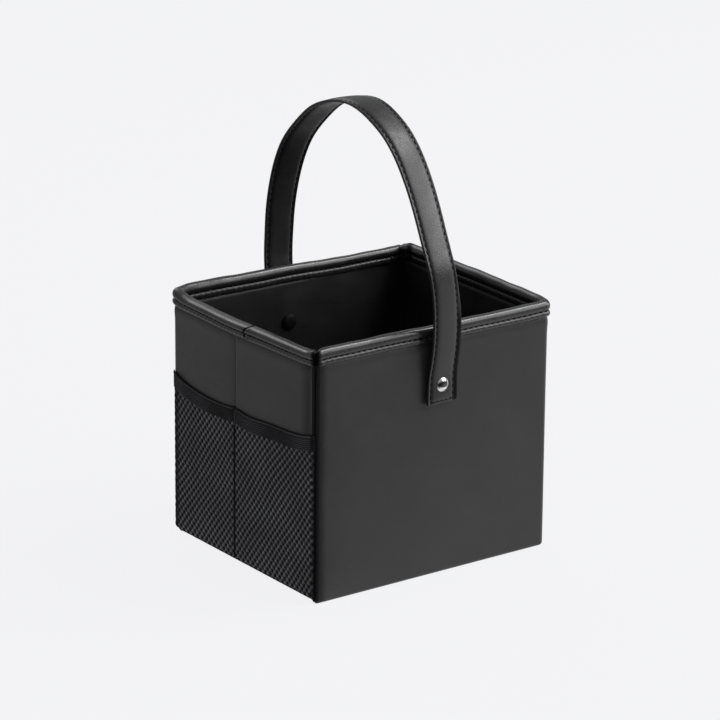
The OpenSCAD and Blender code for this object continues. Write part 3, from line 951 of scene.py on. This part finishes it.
def build_net():
    B = np.stack([A1, A2], 1)
    inv = np.linalg.inv(B)
    box = np.array([(q, z) for q in (-98, 98) for z in (0, 126)]) @ inv.T
    i0, i1 = int(box[:, 0].min()) - 1, int(box[:, 0].max()) + 2
    j0, j1 = int(box[:, 1].min()) - 1, int(box[:, 1].max()) + 2
    al = np.arange(i0 * SUB, i1 * SUB + 1) / SUB
    be = np.arange(j0 * SUB, j1 * SUB + 1) / SUB
    AL, BE = np.meshgrid(al, be, indexing="ij")
    Q = AL * A1[0] + BE * A2[0]
    Z = AL * A1[1] + BE * A2[1]
    H = cell_height(AL, BE)
    # the cloth is drawn and pushed a little unevenly
    Qw = Q + 0.8 * np.sin(Z * 0.045 + Q * 0.02) + 0.5 * np.sin(Z * 0.11 + 1.3)
    Zw = Z + 0.7 * np.sin(Q * 0.06 + 0.6) + 0.4 * np.sin(Q * 0.13 + Z * 0.03)
    parts = {}
    for side, (qa, qb) in {"front": (-CREASE + 0.25, END_Q), "rear": (-END_Q, -CREASE - 0.25)}.items():
        zt = mouth(np.clip(Qw, qa, qb)) - 11.0
        qc = np.clip(Qw, qa, qb)
        zb = 1.6 + pocket_foot(qc)
        zc = np.clip(Zw, zb, zt)
        edge = np.minimum(np.minimum(qc - qa, qb - qc), zc - zb)
        hh = 0.22 + (0.28 + 1.02 * H * (1 - 0.62 * ease(-qc, 82, 91))) * np.clip(0.35 + edge / 2.2, 0, 1)
        P = wall_xyz(qc, zc, hh)
        ok = (Qw > qa - 0.9) & (Qw < qb + 0.9) & (Zw > 0.7) & (Zw < zt + 0.9)
        n, m = AL.shape
        idx = np.arange(n * m).reshape(n, m)
        f = np.stack([idx[:-1, :-1], idx[1:, :-1], idx[1:, 1:], idx[:-1, 1:]], -1).reshape(-1, 4)
        low = (H < 0.16).reshape(-1)
        keep = ok.reshape(-1)[f].all(1) & ~(low[f].all(1))
        f = f[keep]
        W = P.reshape(-1, 3)
        e1, e2 = W[f[:, 2]] - W[f[:, 0]], W[f[:, 3]] - W[f[:, 1]]
        f = f[np.linalg.norm(np.cross(e1, e2), axis=1) > 0.02]
        cy = W[f].mean(1)[:, 1]
        for zone in ("RL", "left_rear", "CL", "left_front", "FL"):
            pick = f[[pocket_zone(y) == zone for y in cy]]
            if len(pick) < 12:
                continue
            used, new = np.unique(pick, return_inverse=True)
            parts[(side, zone)] = (W[used], new.reshape(-1, 4)[:, ::1])
    return parts


net_parts = build_net()
# both pockets' cloth over the crease is one strip
(Va, Fa), (Vb, Fb) = net_parts.pop(("front", "CL")), net_parts.pop(("rear", "CL"))
net_parts[("both", "CL")] = (np.vstack([Va, Vb]), np.vstack([Fa, Fb + len(Va)]))
nets = {}
for (side, zone), (V, F) in net_parts.items():
    # faces turn outward, to -X
    a, b, c = V[F[:, 0]], V[F[:, 1]], V[F[:, 2]]
    nx = np.cross(b - a, c - a)[:, 0].sum()
    F = F[:, ::-1] if nx > 0 else F
    name = f"pocket_mesh_{side}" if zone in ("left_front", "left_rear") else f"pocket_mesh_{side}_{WORD[zone]}"
    ob = make(name, V, [tuple(f) for f in F.tolist()], M_MESH, outward=False)
    bind(ob, zone)
    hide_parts(*[f"pocket_mesh_{w}" for w in (("front", "rear") if side == "both" else (side,))])
    nets[(side, zone)] = ob


def q_marks(qa, qb, step):
    cuts = sorted({qa, qb} | {c for c in (-90, -80, -CREASE - 4, 9, 80, 90) if qa < c < qb})
    out = []
    for a, b in zip(cuts[:-1], cuts[1:]):
        n = max(1, int(math.ceil((b - a) / (step if max(abs(a), abs(b)) < 89 else 0.6) - 1e-6)))
        out += [a + (b - a) * i / n for i in range(n)]
    return np.array(out + [qb])


def q_runs(qs):
    """Runs of columns, split where the pocket passes from one panel to the next."""
    zs = [pocket_zone(-(a + b) / 2) for a, b in zip(qs[:-1], qs[1:])]
    i = 0
    while i < len(zs):
        j = i
        while j < len(zs) and zs[j] == zs[i]:
            j += 1
        yield zs[i], list(range(i, j + 1))
        i = j


# the dark sheets behind the knit, painted shade for the holes
shade_sheets = {}
for side, (qa, qb) in {"front": (-CREASE + 0.1, END_Q), "rear": (-END_Q, -CREASE - 0.1)}.items():
    qs = q_marks(qa, qb, 3.0)
    secs = []
    for q in qs:
        top = float(mouth(q)) - 9
        z = np.linspace(1.3 + float(pocket_foot(q)), top, 26)
        face = 0.34 + 0.05 * np.sin(q * 0.4 + z * 0.3)
        hh = np.concatenate([face, np.full(26, 0.10)])
        secs.append(wall_xyz(np.full(52, q), np.concatenate([z, z[::-1]]), hh))
    secs = np.array(secs)
    for zone, ids in q_runs(qs):
        V, F, caps = loft(secs[ids])
        ob = make(f"pocket_back_{side}" + ("" if zone in RIDE else "_" + WORD[zone]), V, F, M_MESH_SHADE_SHEET, caps)
        bind(ob, zone)
        shade_sheets[(side, zone)] = ob

# ---- elastic hem
EZ = np.linspace(0, 12.3, 38)


def elastic_section(q, qa, qb):
    z = float(mouth(q)) - EZ
    rib = 0.26 * np.cos(2 * PI * (EZ - 1.9) / 1.55) * ((EZ > 1.9) & (EZ < 11.0))
    bead = 0.50 * np.exp(-(((EZ - 0.75) / 0.62) ** 2))
    groove = -0.35 * np.exp(-(((EZ - 1.75) / 0.35) ** 2))
    seam = -0.22 * np.exp(-(((EZ - 8.9) / 0.35) ** 2))
    ends = min(q - qa, qb - q)
    pinch = 0.30 + 0.70 * min(1.0, max(0.0, ends / 3.0)) ** 0.7
    stand = 1.0 + 0.18 * math.sin(q * 0.09 + 0.5) + 0.5 * math.exp(-(((q + 84) / 9.0) ** 2))
    out = 0.30 + (1.15 * stand + rib + bead + groove + seam) * pinch
    out[0] -= 0.35 * pinch
    out[-1] -= 0.5 * pinch
    gap = 0.22 * np.ones(len(EZ))
    hh = np.concatenate([out, gap[::-1]])
    zz = np.concatenate([z, z[::-1]])
    return wall_xyz(np.full(len(hh), q), zz, hh)


elastics, elastic_th = {}, {}
unit_el = stitch_unit(1.5, 0.45, 0.42)
for side, (qa, qb) in {"front": (-CREASE + 0.15, END_Q), "rear": (-END_Q, -CREASE - 0.15)}.items():
    qs = q_marks(qa, qb, 1.6)
    secs = np.array([elastic_section(q, qa, qb) for q in qs])
    for zone, ids in q_runs(qs):
        V, F, caps = loft(secs[ids])
        ob = make(f"pocket_elastic_{side}" + ("" if zone in RIDE else "_" + WORD[zone]) + "_hem", V, F, M_ELASTIC, caps)
        bind(ob, zone)
        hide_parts(f"pocket_elastic_{side}")
        elastics[(side, zone)] = ob
    q = qa + 3
    while q < qb - 2:
        sec = elastic_section(q, qa, qb)
        k = int(np.argmin(np.abs(EZ - 8.9)))
        p0 = wall_xyz(q, float(mouth(q)) - 8.9, 0)
        p1 = sec[k]
        pa, pb = wall_xyz(q - 1, float(mouth(q - 1)) - 8.9, 0), wall_xyz(q + 1, float(mouth(q + 1)) - 8.9, 0)
        key = (side, pocket_zone(-q))
        elastic_th.setdefault(key, Threads()).add(unit_el, p1 + (p1 - p0) * 0.08, pb - pa, p1 - p0)
        q += 3.1
# zigzag tack where the two hems meet on the crease
tack = Threads()
unit_tack = stitch_unit(2.3, 0.5, 0.45)
for k in range(7):
    z = 124.0 - 1.6 * k
    p = wall_xyz(-CREASE + 0.15 * (-1) ** k, z, 1.05)
    tack.add(unit_tack, p, (0, -0.8, 0.7 * (-1) ** k), (-1, 0, 0))
ob = tack.done("pocket_tack_crease_l", M_THREAD_PAINTED_LIT)
bind(ob, "CL")
for (side, zone), th in elastic_th.items():
    ob = th.done(f"pocket_stitch_{side}" + ("" if zone in RIDE else "_" + WORD[zone]), M_THREAD_PAINTED_LIT)
    bind(ob, zone)
    elastic_th[(side, zone)] = ob

# ------------------------------------------------------------------- handle
SKEW = math.radians(2.34)
# y, z of the strap's outer face, its turn in degrees and its shift sideways
STRAP = [(-99.1, 138.5, 0.0, 0.0), (-99.1, 145.0, 0.0, 0.0), (-99.1, 151.0, 0.3, 0.1), (-99.1, 157.0, 1.2, 0.2),
         (-99.5, 163.5, 2.3, 0.3), (-101.9, 175.9, 3.7, 0.4), (-103.5, 188.4, 4.6, 0.3), (-104.5, 199.9, 5.2, -0.1),
         (-105.3, 214.0, 5.6, -1.1), (-105.7, 225.5, 5.7, -2.4), (-105.0, 239.2, 5.6, -4.1), (-101.9, 249.9, 5.4, -4.6),
         (-96.7, 260.1, 5.0, -4.2), (-90.3, 272.2, 4.6, -3.5), (-84.7, 282.5, 4.3, -2.7), (-77.5, 294.3, 3.8, -1.6),
         (-70.5, 304.3, 3.3, -0.6), (-62.7, 314.4, 2.6, 0.3), (-55.7, 322.5, 1.9, 1.0), (-46.0, 331.7, 0.6, 1.7),
         (-36.5, 338.4, -0.8, 2.3), (-25.7, 344.0, -2.7, 2.6), (-14.9, 348.8, -4.8, 2.9), (-1.9, 352.2, -7.2, 3.1),
         (10.0, 352.4, -9.1, 3.3), (21.6, 350.6, -10.8, 3.4), (33.1, 347.1, -12.1, 3.4), (45.0, 342.0, -12.9, 3.3),
         (54.5, 335.7, -13.0, 3.2), (63.8, 327.6, -12.7, 3.1), (73.6, 318.0, -12.0, 2.8), (81.5, 309.1, -11.0, 2.6),
         (88.4, 298.8, -9.9, 2.4), (94.5, 285.6, -8.4, 2.2), (98.2, 275.1, -7.2, 2.1), (101.8, 262.1, -5.8, 1.9),
         (104.3, 249.0, -4.4, 1.7), (105.5, 238.3, -3.4, 1.5), (106.3, 224.8, -2.2, 1.3), (106.6, 212.0, -1.3, 0.9),
         (106.0, 199.9, -0.7, 0.5), (104.5, 187.2, -0.2, 0.2), (102.0, 175.9, 0.0, 0.0), (99.1, 163.4, 0.0, 0.0),
         (99.1, 157.0, 0.0, 0.0), (99.1, 151.0, 0.0, 0.0), (99.1, 145.0, 0.0, 0.0), (99.1, 138.5, 0.0, 0.0)]


def strap_line():
    p = np.array(STRAP, float)
    out = []
    for i in range(len(p) - 1):
        a, b, c, d = p[max(0, i - 1)], p[i], p[i + 1], p[min(len(p) - 1, i + 2)]
        for j in range(10):
            t = j / 10
            out.append(0.5 * (2 * b + (c - a) * t + (2 * a - 5 * b + 4 * c - d) * t * t + (3 * b - a - 3 * c + d) * t ** 3))
    out = np.array(out + [p[-1]])
    for _ in range(40):
        out[1:-1] = 0.25 * out[:-2] + 0.5 * out[1:-1] + 0.25 * out[2:]
    s = np.concatenate([[0], np.cumsum(np.linalg.norm(np.diff(out[:, :2], axis=0), axis=1))])
    return out, s


LINE, LINE_S = strap_line()
STRAP_LEN = float(LINE_S[-1])


def strap_at(s, u, h):
    """Point of the strap: s along it, u across, h above its outer face."""
    y, z = np.interp(s, LINE_S, LINE[:, 0]), np.interp(s, LINE_S, LINE[:, 1])
    y2, z2 = np.interp(s + 1.5, LINE_S, LINE[:, 0]), np.interp(s + 1.5, LINE_S, LINE[:, 1])
    y1, z1 = np.interp(s - 1.5, LINE_S, LINE[:, 0]), np.interp(s - 1.5, LINE_S, LINE[:, 1])
    ty, tz = y2 - y1, z2 - z1
    n = np.hypot(ty, tz)
    oy, oz = -tz / n, ty / n
    turn_w = np.radians(np.interp(s, LINE_S, LINE[:, 2]))
    side = np.interp(s, LINE_S, LINE[:, 3])
    xx, yy, zz = np.broadcast_arrays(side + u * np.cos(turn_w), y + oy * h + u * np.sin(turn_w), z + oz * h)
    c, k = math.cos(SKEW), math.sin(SKEW)
    return np.stack([xx * c - yy * k, xx * k + yy * c, zz], -1)


S_U = [-13.50, -13.48, -13.35, -13.10, -12.80, -12.40, -12.00, -11.60, -11.20, -10.80, -10.40, -10.00, -9.50, -8.60, -7.00, -5.00, -2.60]
S_H = [-1.45, -0.90, -0.50, -0.22, -0.12, -0.16, -0.26, -0.40, -0.58, -0.72, -0.55, -0.24, 0.06, 0.34, 0.55, 0.68, 0.74]
S_U = np.array(S_U + [0.0] + [-v for v in reversed(S_U)])
S_H = np.array(S_H + [0.76] + list(reversed(S_H)))
B_H = [-1.45, -1.80, -2.08, -2.26, -2.34, -2.32, -2.22, -2.08, -1.96, -1.90, -1.98, -2.18, -2.44, -2.70, -2.86, -2.94, -2.98]
B_H = np.array(B_H + [-3.0] + list(reversed(B_H)))
STITCH_U = 10.8


def strap_sections(outer):
    ends = np.array([0, 0.25, 0.7, 1.3, 1.9, 2.3, 2.6, 2.9, 3.2, 3.5, 3.9])
    marks = list(np.concatenate([ends, np.linspace(4.8, STRAP_LEN - 4.8, int((STRAP_LEN - 9.6) / 1.3)), STRAP_LEN - ends[::-1]]))
    out = []
    for s in marks:
        e = min(s, STRAP_LEN - s)
        lip = math.sqrt(max(0.0, 1 - (1 - min(e, 2.0) / 2.0) ** 2)) if e < 2.0 else 1.0
        narrow = 1 - 0.055 * max(0.0, 1 - e / 1.8) ** 1.5
        u = S_U * narrow
        r = np.hypot(u, e - 15.5)
        if outer:
            h = S_H.copy()
            pad = np.clip((e - 1.5) / 5.0, 0, 1)
            h = np.where(h > -0.40, -0.40 + (h + 0.40) * (0.25 + 0.75 * pad), h)
            h = h - 0.62 * np.exp(-((r / 7.0) ** 2)) * (np.abs(S_U) < 10.5)
            h = h - 0.34 * math.exp(-(((e - 2.9) / 0.7) ** 2)) * (np.abs(S_U) < 10.9)
            ph = math.cos(2 * PI * (s - 4.0) / 5.3)
            h = h + 0.08 * ph * np.exp(-(((np.abs(S_U) - 9.9) / 0.9) ** 2)) + 0.07 * ph * np.exp(-(((np.abs(S_U) - 12.4) / 0.8) ** 2))
            h = h + 0.10 * math.sin(s * 0.05 + 1) * np.exp(-((S_U / 7.0) ** 2))
            h = -1.45 + (h + 1.45) * (0.35 + 0.65 * lip)
            uu, hh = u, h
        else:
            h = B_H.copy()
            h = h + 0.30 * np.exp(-((r / 7.0) ** 2)) * (np.abs(S_U) < 10.5)
            h = -1.45 + (h + 1.45) * (0.35 + 0.65 * lip)
            uu, hh = u[::-1] * 0.992, h - 0.04
        # the front end's right edge is thick and stands out past the stitching
        lip_w = 2.1 * float(1 - ease(s, 62, 98)) * min(1.0, e / 1.5)
        uu = uu + lip_w * np.clip((uu - 12.4) / 1.1, 0, 1)
        n = len(uu)
        base_u = np.linspace(uu[-1], uu[0], 7)[1:-1]
        base_h = np.full(5, -1.45 + (0.0 if outer else -0.04))
        out.append(strap_at(s, np.concatenate([uu, base_u]), np.concatenate([hh, base_h])))
    return np.array(out)


handle_parts = []
V, F, caps = loft(strap_sections(True))
strap = make("handle_strap_leather", V, F, M_STRAP, caps)
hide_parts("handle_strap")
V, F, caps = loft(strap_sections(False))
strap_in = make("handle_strap_inside", V, F, M_STRAP_IN, caps)
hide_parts("handle_backing")
handle_parts += [strap, strap_in]
unit_strap = stitch_unit(3.8, 1.05, 0.9)
for nm, h, sign, mat in (("out", -0.62, 1, M_THREAD), ("in", -2.05, -1, M_THREAD)):
    th = Threads()
    n = int((STRAP_LEN - 8) / 5.3)
    for k in range(n):
        s = 4.0 + 2.65 + k * 5.3
        for u in (-STITCH_U, STITCH_U):
            p = strap_at(s, np.array([u]), h)[0]
            q = strap_at(s, np.array([u]), h + sign)[0]
            a, b = strap_at(s - 1, np.array([u]), h)[0], strap_at(s + 1, np.array([u]), h)[0]
            th.add(unit_strap, p, b - a, q - p, 0.04)
    for s in (2.9, STRAP_LEN - 2.9):
        for u in (-8.4, -4.2, 0.0, 4.2, 8.4):
            rise = (-0.28 if sign > 0 else -2.40)
            p, q = strap_at(s, np.array([u]), rise)[0], strap_at(s, np.array([u]), rise + sign)[0]
            a, b = strap_at(s, np.array([u - 1]), rise)[0], strap_at(s, np.array([u + 1]), rise)[0]
            th.add(unit_strap, p, b - a, q - p, 0.04)
    ob = th.done(f"handle_stitch_{nm}", mat)
    handle_parts.append(ob)
for ob in handle_parts:
    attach(ob, "handle")
    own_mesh(ob)


# ------------------------------------------------------------------- rivets
def lathe(name, prof, mat, front, n=64):
    """Turn a profile (radius, distance from the middle) about the rivet line."""
    sign = 1 if front else -1
    ax = np.array([math.sin(SKEW), -math.cos(SKEW), 0]) * sign
    e1, e2 = np.array([math.cos(SKEW), math.sin(SKEW), 0]) * sign, np.array([0, 0, 1.0])
    V, F = [], []
    for i in range(n):
        w = 2 * PI * i / n
        for r, a in prof:
            V.append(np.array([0, 0, 154.0]) + ax * a + (e1 * math.cos(w) + e2 * math.sin(w)) * r)
    m = len(prof)
    for i in range(n):
        j = (i + 1) % n
        for k in range(m - 1):
            F.append((i * m + k, i * m + k + 1, j * m + k + 1, j * m + k))
    c0 = len(V)
    V.append(np.array([0, 0, 154.0]) + ax * prof[0][1])
    V.append(np.array([0, 0, 154.0]) + ax * prof[-1][1])
    for i in range(n):
        j = (i + 1) % n
        F.append((i * m, j * m, c0))
        F.append((j * m + m - 1, i * m + m - 1, c0 + 1))
    return make(name, V, F, mat)


for front in (True, False):
    w = "front" if front else "rear"
    dome = [(4.45 * math.cos(a), 99.95 + 1.85 * math.sin(a)) for a in np.radians(np.linspace(4, 86, 14))]
    prof = [(2.0, 90.6), (2.0, 99.0), (5.1, 99.12), (5.42, 99.28), (5.5, 99.52), (5.38, 99.76), (5.1, 99.90), (4.75, 99.93), (4.52, 99.90)] + dome
    ob = lathe(f"{w}_rivet_head", prof, M_RIVET, front)
    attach(ob, f"{w}_wall")
    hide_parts(f"{w}_rivet")
    cap = [(6.1, 89.78), (6.5, 89.55), (6.6, 89.2), (6.5, 88.85), (6.15, 88.62), (5.7, 88.52), (5.3, 88.30), (4.6, 88.02), (3.4, 87.78), (1.8, 87.66), (0.5, 87.62)]
    ob = lathe(f"{w}_cap", cap, M_CAP, front)
    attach(ob, f"{w}_wall")
    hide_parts(f"{w}_rivet_cap")


# --------------------------------------------------------------------- base
def half_width(y):
    return 102 - (87.9 - abs(y))


def base_rows(ya, yb, step, kind):
    n = max(1, int(math.ceil(abs(yb - ya) / step)))
    out = []
    for i in range(n + 1):
        y = ya + (yb - ya) * i / n
        w = half_width(min(abs(y), 87.9))
        xs = np.linspace(-1, 1, 34)
        if kind == "skin":
            under = 0.10 * np.cos(xs * PI / 2) * (1 + np.sin(xs * 9 + y * 0.2) * 0.4)
            lo_x = np.concatenate([[-w - 0.75, -w - 0.75, -w - 0.45], xs * (w - 0.1), [w + 0.45, w + 0.75, w + 0.75]])
            lo_z = np.concatenate([[3.3, 0.95, 0.35], 0.02 + under, [0.35, 0.95, 3.3]])
            hi_x = np.concatenate([[w + 0.12, w + 0.12], np.linspace(w, -w, 10), [-w - 0.12, -w - 0.12]])
            hi_z = np.concatenate([[3.3, 1.2], np.full(10, 0.97), [1.2, 3.3]])
        else:
            top = 0.16 * np.sin(xs * 5 + y * 0.11) ** 2
            lo_x = np.concatenate([xs * (w + 0.25)])
            lo_z = np.full(34, 3.26)
            hi_x = np.concatenate([[w + 0.62, w + 0.62], xs[::-1] * (w + 0.1), [-w - 0.62, -w - 0.62]])
            hi_z = np.concatenate([[3.5, 3.8], 4.0 + top[::-1], [3.8, 3.5]])
        x = np.concatenate([lo_x, hi_x])
        z = np.concatenate([lo_z, hi_z])
        out.append(np.stack([x, np.full(len(x), y), z], 1))
    return np.array(out)


def base_piece(name, ya, yb, step, kind, how, nodes):
    V, F, caps = loft(base_rows(ya, yb, step, kind))
    ob = make(name, V, F, M_UNDER if kind == "skin" else M_LINING, caps)
    if len(how) == 1:
        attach(ob, how[0])
    else:
        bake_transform(ob)
    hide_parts(*nodes)
    return ob


for kind, word in (("skin", "under"), ("lining", "floor_lining")):
    base_piece(f"base_{word}_hinge", -89.7, -83, 0.7, kind, ("front_wall", "base_front_panel", -88.9, -85), [f"base_front_{kind}"])
    base_piece(f"base_{word}_front", -83, -7, 4, kind, ("base_front_panel",), [f"base_front_{kind}"])
    base_piece(f"base_{word}_ridge", -7, 7, 0.7, kind, ("base_front_panel", "base_rear_panel", -4, 4), [f"base_front_{kind}", f"base_rear_{kind}"])
    base_piece(f"base_{word}_rear", 7, 87.9, 4, kind, ("base_rear_panel",), [f"base_rear_{kind}"])
    base_piece(f"base_{word}_edge", 87.9, 89.85, 0.7, kind, ("rear_wall",), [f"base_rear_{kind}"])

for sx, sw in ((-1, "left"), (1, "right")):
    for sy, yw in ((-1, "front"), (1, "rear")):
        secs = []
        for y in np.linspace(0.01, 90.3, 41):
            w = half_width(min(y, 87.9))
            xs = np.linspace(0, 1, 16)
            a, b = w + 0.74, 105.4
            b = max(b, a + 0.2)
            sag = 0.55 * np.sin(xs * PI) * min(1, (b - a) / 30)
            x = np.concatenate([a + (b - a) * xs, a + (b - a) * xs[::-1]])
            z = np.concatenate([0.12 + 0 * xs, 1.25 - sag[::-1] * 0.8])
            if sx < 0:
                z = z + 2.6 * ease(x, 97.5, 104.75)
            secs.append(np.stack([x * sx, np.full(len(x), y * sy), z], 1))
        V, F, caps = loft(np.array(secs))
        ob = make(f"gusset_{sw}_{yw}_leather", V, F, M_GUSSET, caps)
        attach(ob, f"{sw}_{yw}_panel")
        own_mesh(ob)
        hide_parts(f"gusset_{sw}_{yw}")

# ------------------------------------------------------------------- boards
for n in ("base_front", "base_rear"):
    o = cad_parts[f"{n}_board"]
    o = bpy.data.objects[o] if isinstance(o, str) else o
    for s in o.material_slots:
        s.material = M_BOARD
    if not o.material_slots:
        o.data.materials.append(M_BOARD)

# The walls' boards stop short of the bends, so the leather can turn round them.
# The left wall's two are cut lower as well, under its sagging rim.
BOARDS = (("left_front", "left_front_panel", "left", -87.5, -2.5, 4.2, 193.0),
          ("left_rear", "left_rear_panel", "left", 2.5, 87.5, 4.2, 193.0),
          ("right_front", "right_front_panel", "right", 2.5, 87.5, 1.1, 194.6),
          ("right_rear", "right_rear_panel", "right", -87.5, -2.5, 1.1, 194.6),
          ("front", "front_wall", "front", -101.5, 101.5, 1.0, 195.6),
          ("rear", "rear_wall", "rear", -101.5, 101.5, 1.0, 195.6))
PLACE = {"left": lambda u, d: (-110 + d, u), "right": lambda u, d: (110 - d, -u),
         "front": lambda u, d: (-u, -95 + d), "rear": lambda u, d: (u, 95 - d)}
for n, body, wall, ua, ub, z0, z1 in BOARDS:
    secs = []
    for u in [ua, ua + 0.5, *np.linspace(ua + 3, ub - 3, 12), ub - 0.5, ub]:
        c = 0.45 if min(u - ua, ub - u) < 0.3 else 0.0
        wave = 0.25 * math.sin(u * 0.09) if wall == "left" else 0.0
        d = np.array([1.35 + c, 1.05 + c, 1.05 + c, 1.35 + c, 3.65 - c, 3.95 - c, 3.95 - c, 3.65 - c])
        x, y = PLACE[wall](np.full(8, u), d)
        z = np.array([z0, z0 + 0.4, z1 - 0.4, z1, z1, z1 - 0.4, z0 + 0.4, z0]) + wave * (np.arange(8) // 2 % 3 == 1)
        secs.append(np.stack([x, y, z], 1))
    V, F, caps = loft(np.array(secs))
    ob = make(f"{n}_board_panel", V, F, M_BOARD, caps)
    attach(ob, body)
    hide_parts(f"{n}_board")

# ----------------------------------------------------- pocket cloth heights, worked out but not used
for (side, zone), ob in nets.items():
    qa, qb = {"RL": (-END_Q, -80), "left_rear": (-80, -CREASE - 4), "left_front": (9, 80), "FL": (80, END_Q),
              "CL": (-CREASE - 4, 9)}[zone]
    hgt = float(np.mean(mouth(np.linspace(qa, qb, 9)))) - 11 - 1.6

# ------------------------------------------------------------------- studio
scene = bpy.context.scene
world = bpy.data.worlds.new("studio")
scene.world = world
world.use_nodes = True
wt = world.node_tree
wt.nodes.clear()


def wnode(tree, kind, **props):
    n = tree.nodes.new(kind)
    for k, v in props.items():
        setattr(n, k, v)
    return n


def wmath(tree, op, a, b=None, clamp=False):
    n = wnode(tree, "ShaderNodeMath", operation=op, use_clamp=clamp)
    for i, v in enumerate((a, b)):
        if isinstance(v, (int, float)):
            n.inputs[i].default_value = v
        elif v is not None:
            tree.links.new(v, n.inputs[i])
    return n.outputs[0]


# Plain pale surroundings, dimmer low down and behind the camera
wco = wnode(wt, "ShaderNodeTexCoord")
wsep = wnode(wt, "ShaderNodeSeparateXYZ")
wt.links.new(wco.outputs["Generated"], wsep.inputs[0])
wx, wy, wz = wsep.outputs
high = wmath(wt, "MULTIPLY", wmath(wt, "MULTIPLY_ADD", wz, 1.4), 1.0, clamp=True)
toward = wmath(wt, "ADD", wmath(wt, "MULTIPLY", wx, -0.80), wmath(wt, "MULTIPLY", wy, -0.60))
shade = wmath(wt, "SUBTRACT", 1.0, wmath(wt, "MULTIPLY", toward, 0.85, clamp=True))
glow = wmath(wt, "MULTIPLY", wmath(wt, "ADD", 0.10, wmath(wt, "MULTIPLY", high, 0.42)), shade)
path = wnode(wt, "ShaderNodeLightPath")
dull, pale = wnode(wt, "ShaderNodeBackground"), wnode(wt, "ShaderNodeBackground")
dull.inputs[0].default_value = (0.97, 0.98, 1.0, 1)
wt.links.new(glow, dull.inputs[1])
pale.inputs[0].default_value = (0.905, 0.905, 0.923, 1)
pale.inputs[1].default_value = 1.0
wmix, wout = wnode(wt, "ShaderNodeMixShader"), wnode(wt, "ShaderNodeOutputWorld")
wt.links.new(path.outputs["Is Camera Ray"], wmix.inputs[0])
wt.links.new(dull.outputs[0], wmix.inputs[1])
wt.links.new(pale.outputs[0], wmix.inputs[2])
wt.links.new(wmix.outputs[0], wout.inputs[0])


def flat_square(name, half, z, mat):
    me = bpy.data.meshes.new(name)
    me.from_pydata([(-half, -half, z), (half, -half, z), (half, half, z), (-half, half, z)], [], [(0, 1, 2, 3)])
    me.materials.append(mat)
    ob = bpy.data.objects.new(name, me)
    scene.collection.objects.link(ob)
    ob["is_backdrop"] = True
    return ob


floor_m = bpy.data.materials.new("pale_floor")
floor_m.use_nodes = True
fb = floor_m.node_tree.nodes["Principled BSDF"]
fb.inputs["Base Color"].default_value = (0.03, 0.03, 0.0306, 1)
fb.inputs["Roughness"].default_value = 1.0
fb.inputs["Specular IOR Level"].default_value = 0.0
fb.inputs["Emission Color"].default_value = (0.995, 0.995, 1.012, 1)
fb.inputs["Emission Strength"].default_value = 0.866
floor = flat_square("floor", 14, 0, floor_m)
floor.visible_glossy = False

# What the leather mirrors of the floor: bright to the right and behind, dark
# where the photographer stands
card_m = bpy.data.materials.new("floor_card")
card_m.use_nodes = True
ct = card_m.node_tree
ct.nodes.clear()
cco, csep = wnode(ct, "ShaderNodeTexCoord"), wnode(ct, "ShaderNodeSeparateXYZ")
ct.links.new(cco.outputs["Object"], csep.inputs[0])
ang = wmath(ct, "ARCTAN2", wmath(ct, "ADD", csep.outputs[1], 0.095), wmath(ct, "ADD", csep.outputs[0], 0.11))
cramp = wnode(ct, "ShaderNodeValToRGB")
CARD = [(0.0, 0.144), (0.05, 0.04), (0.11, 0.013), (0.17, 0.02), (0.25, 0.09), (0.31, 0.33), (0.36, 0.64), (0.42, 1.0), (0.50, 0.96),
        (0.60, 0.80), (0.70, 0.63), (0.82, 0.465), (0.90, 0.365), (1.0, 0.144)]
while len(cramp.color_ramp.elements) < len(CARD):
    cramp.color_ramp.elements.new(0.5)
for el, (pos, v) in zip(cramp.color_ramp.elements, CARD):
    el.position, el.color = pos, (v, v, v, 1)
ct.links.new(wmath(ct, "ADD", wmath(ct, "MULTIPLY", ang, 1 / (2 * PI)), 0.5), cramp.inputs[0])
cem, cout = wnode(ct, "ShaderNodeEmission"), wnode(ct, "ShaderNodeOutputMaterial")
cem.inputs[1].default_value = 1.08
ct.links.new(cramp.outputs[0], cem.inputs[0])
ct.links.new(cem.outputs[0], cout.inputs[0])
card = flat_square("floor_card", 3.0, 0, card_m)
card.visible_camera = card.visible_diffuse = card.visible_shadow = card.visible_transmission = False


def softbox(name, direction, dist, size, radiance, size_y=None):
    li = bpy.data.lights.new(name, "AREA")
    li.shape = "RECTANGLE"
    li.size, li.size_y = size, size_y or size
    li.energy = radiance * PI * size * (size_y or size)
    ob = bpy.data.objects.new(name, li)
    scene.collection.objects.link(ob)
    v = Vector(direction).normalized()
    ob.location = v * dist + Vector((0, 0, 0.15))
    ob.rotation_euler = v.to_track_quat("Z", "Y").to_euler()
    ob.visible_camera = False
    return ob


softbox("key", (0.62, -0.45, 0.62), 2.6, 2.2, 3.2)
softbox("top", (0.50, -0.10, 0.85), 2.6, 0.9, 11.0)
softbox("side", (0.86, -0.36, 0.36), 2.5, 1.2, 4.5)
softbox("rear", (0.05, 0.78, 0.62), 2.8, 1.5, 2.2)

scene.view_settings.view_transform = "Standard"
scene.view_settings.look = "None"
scene.view_settings.exposure = 0
scene.view_settings.gamma = 1

vis = [list(v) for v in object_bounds()]
({"cad": [[float(a) for a in CAD_LO], [float(a) for a in CAD_HI]],
           "visual": [[float(a) for a in vis[0]], [float(a) for a in vis[1]]]})
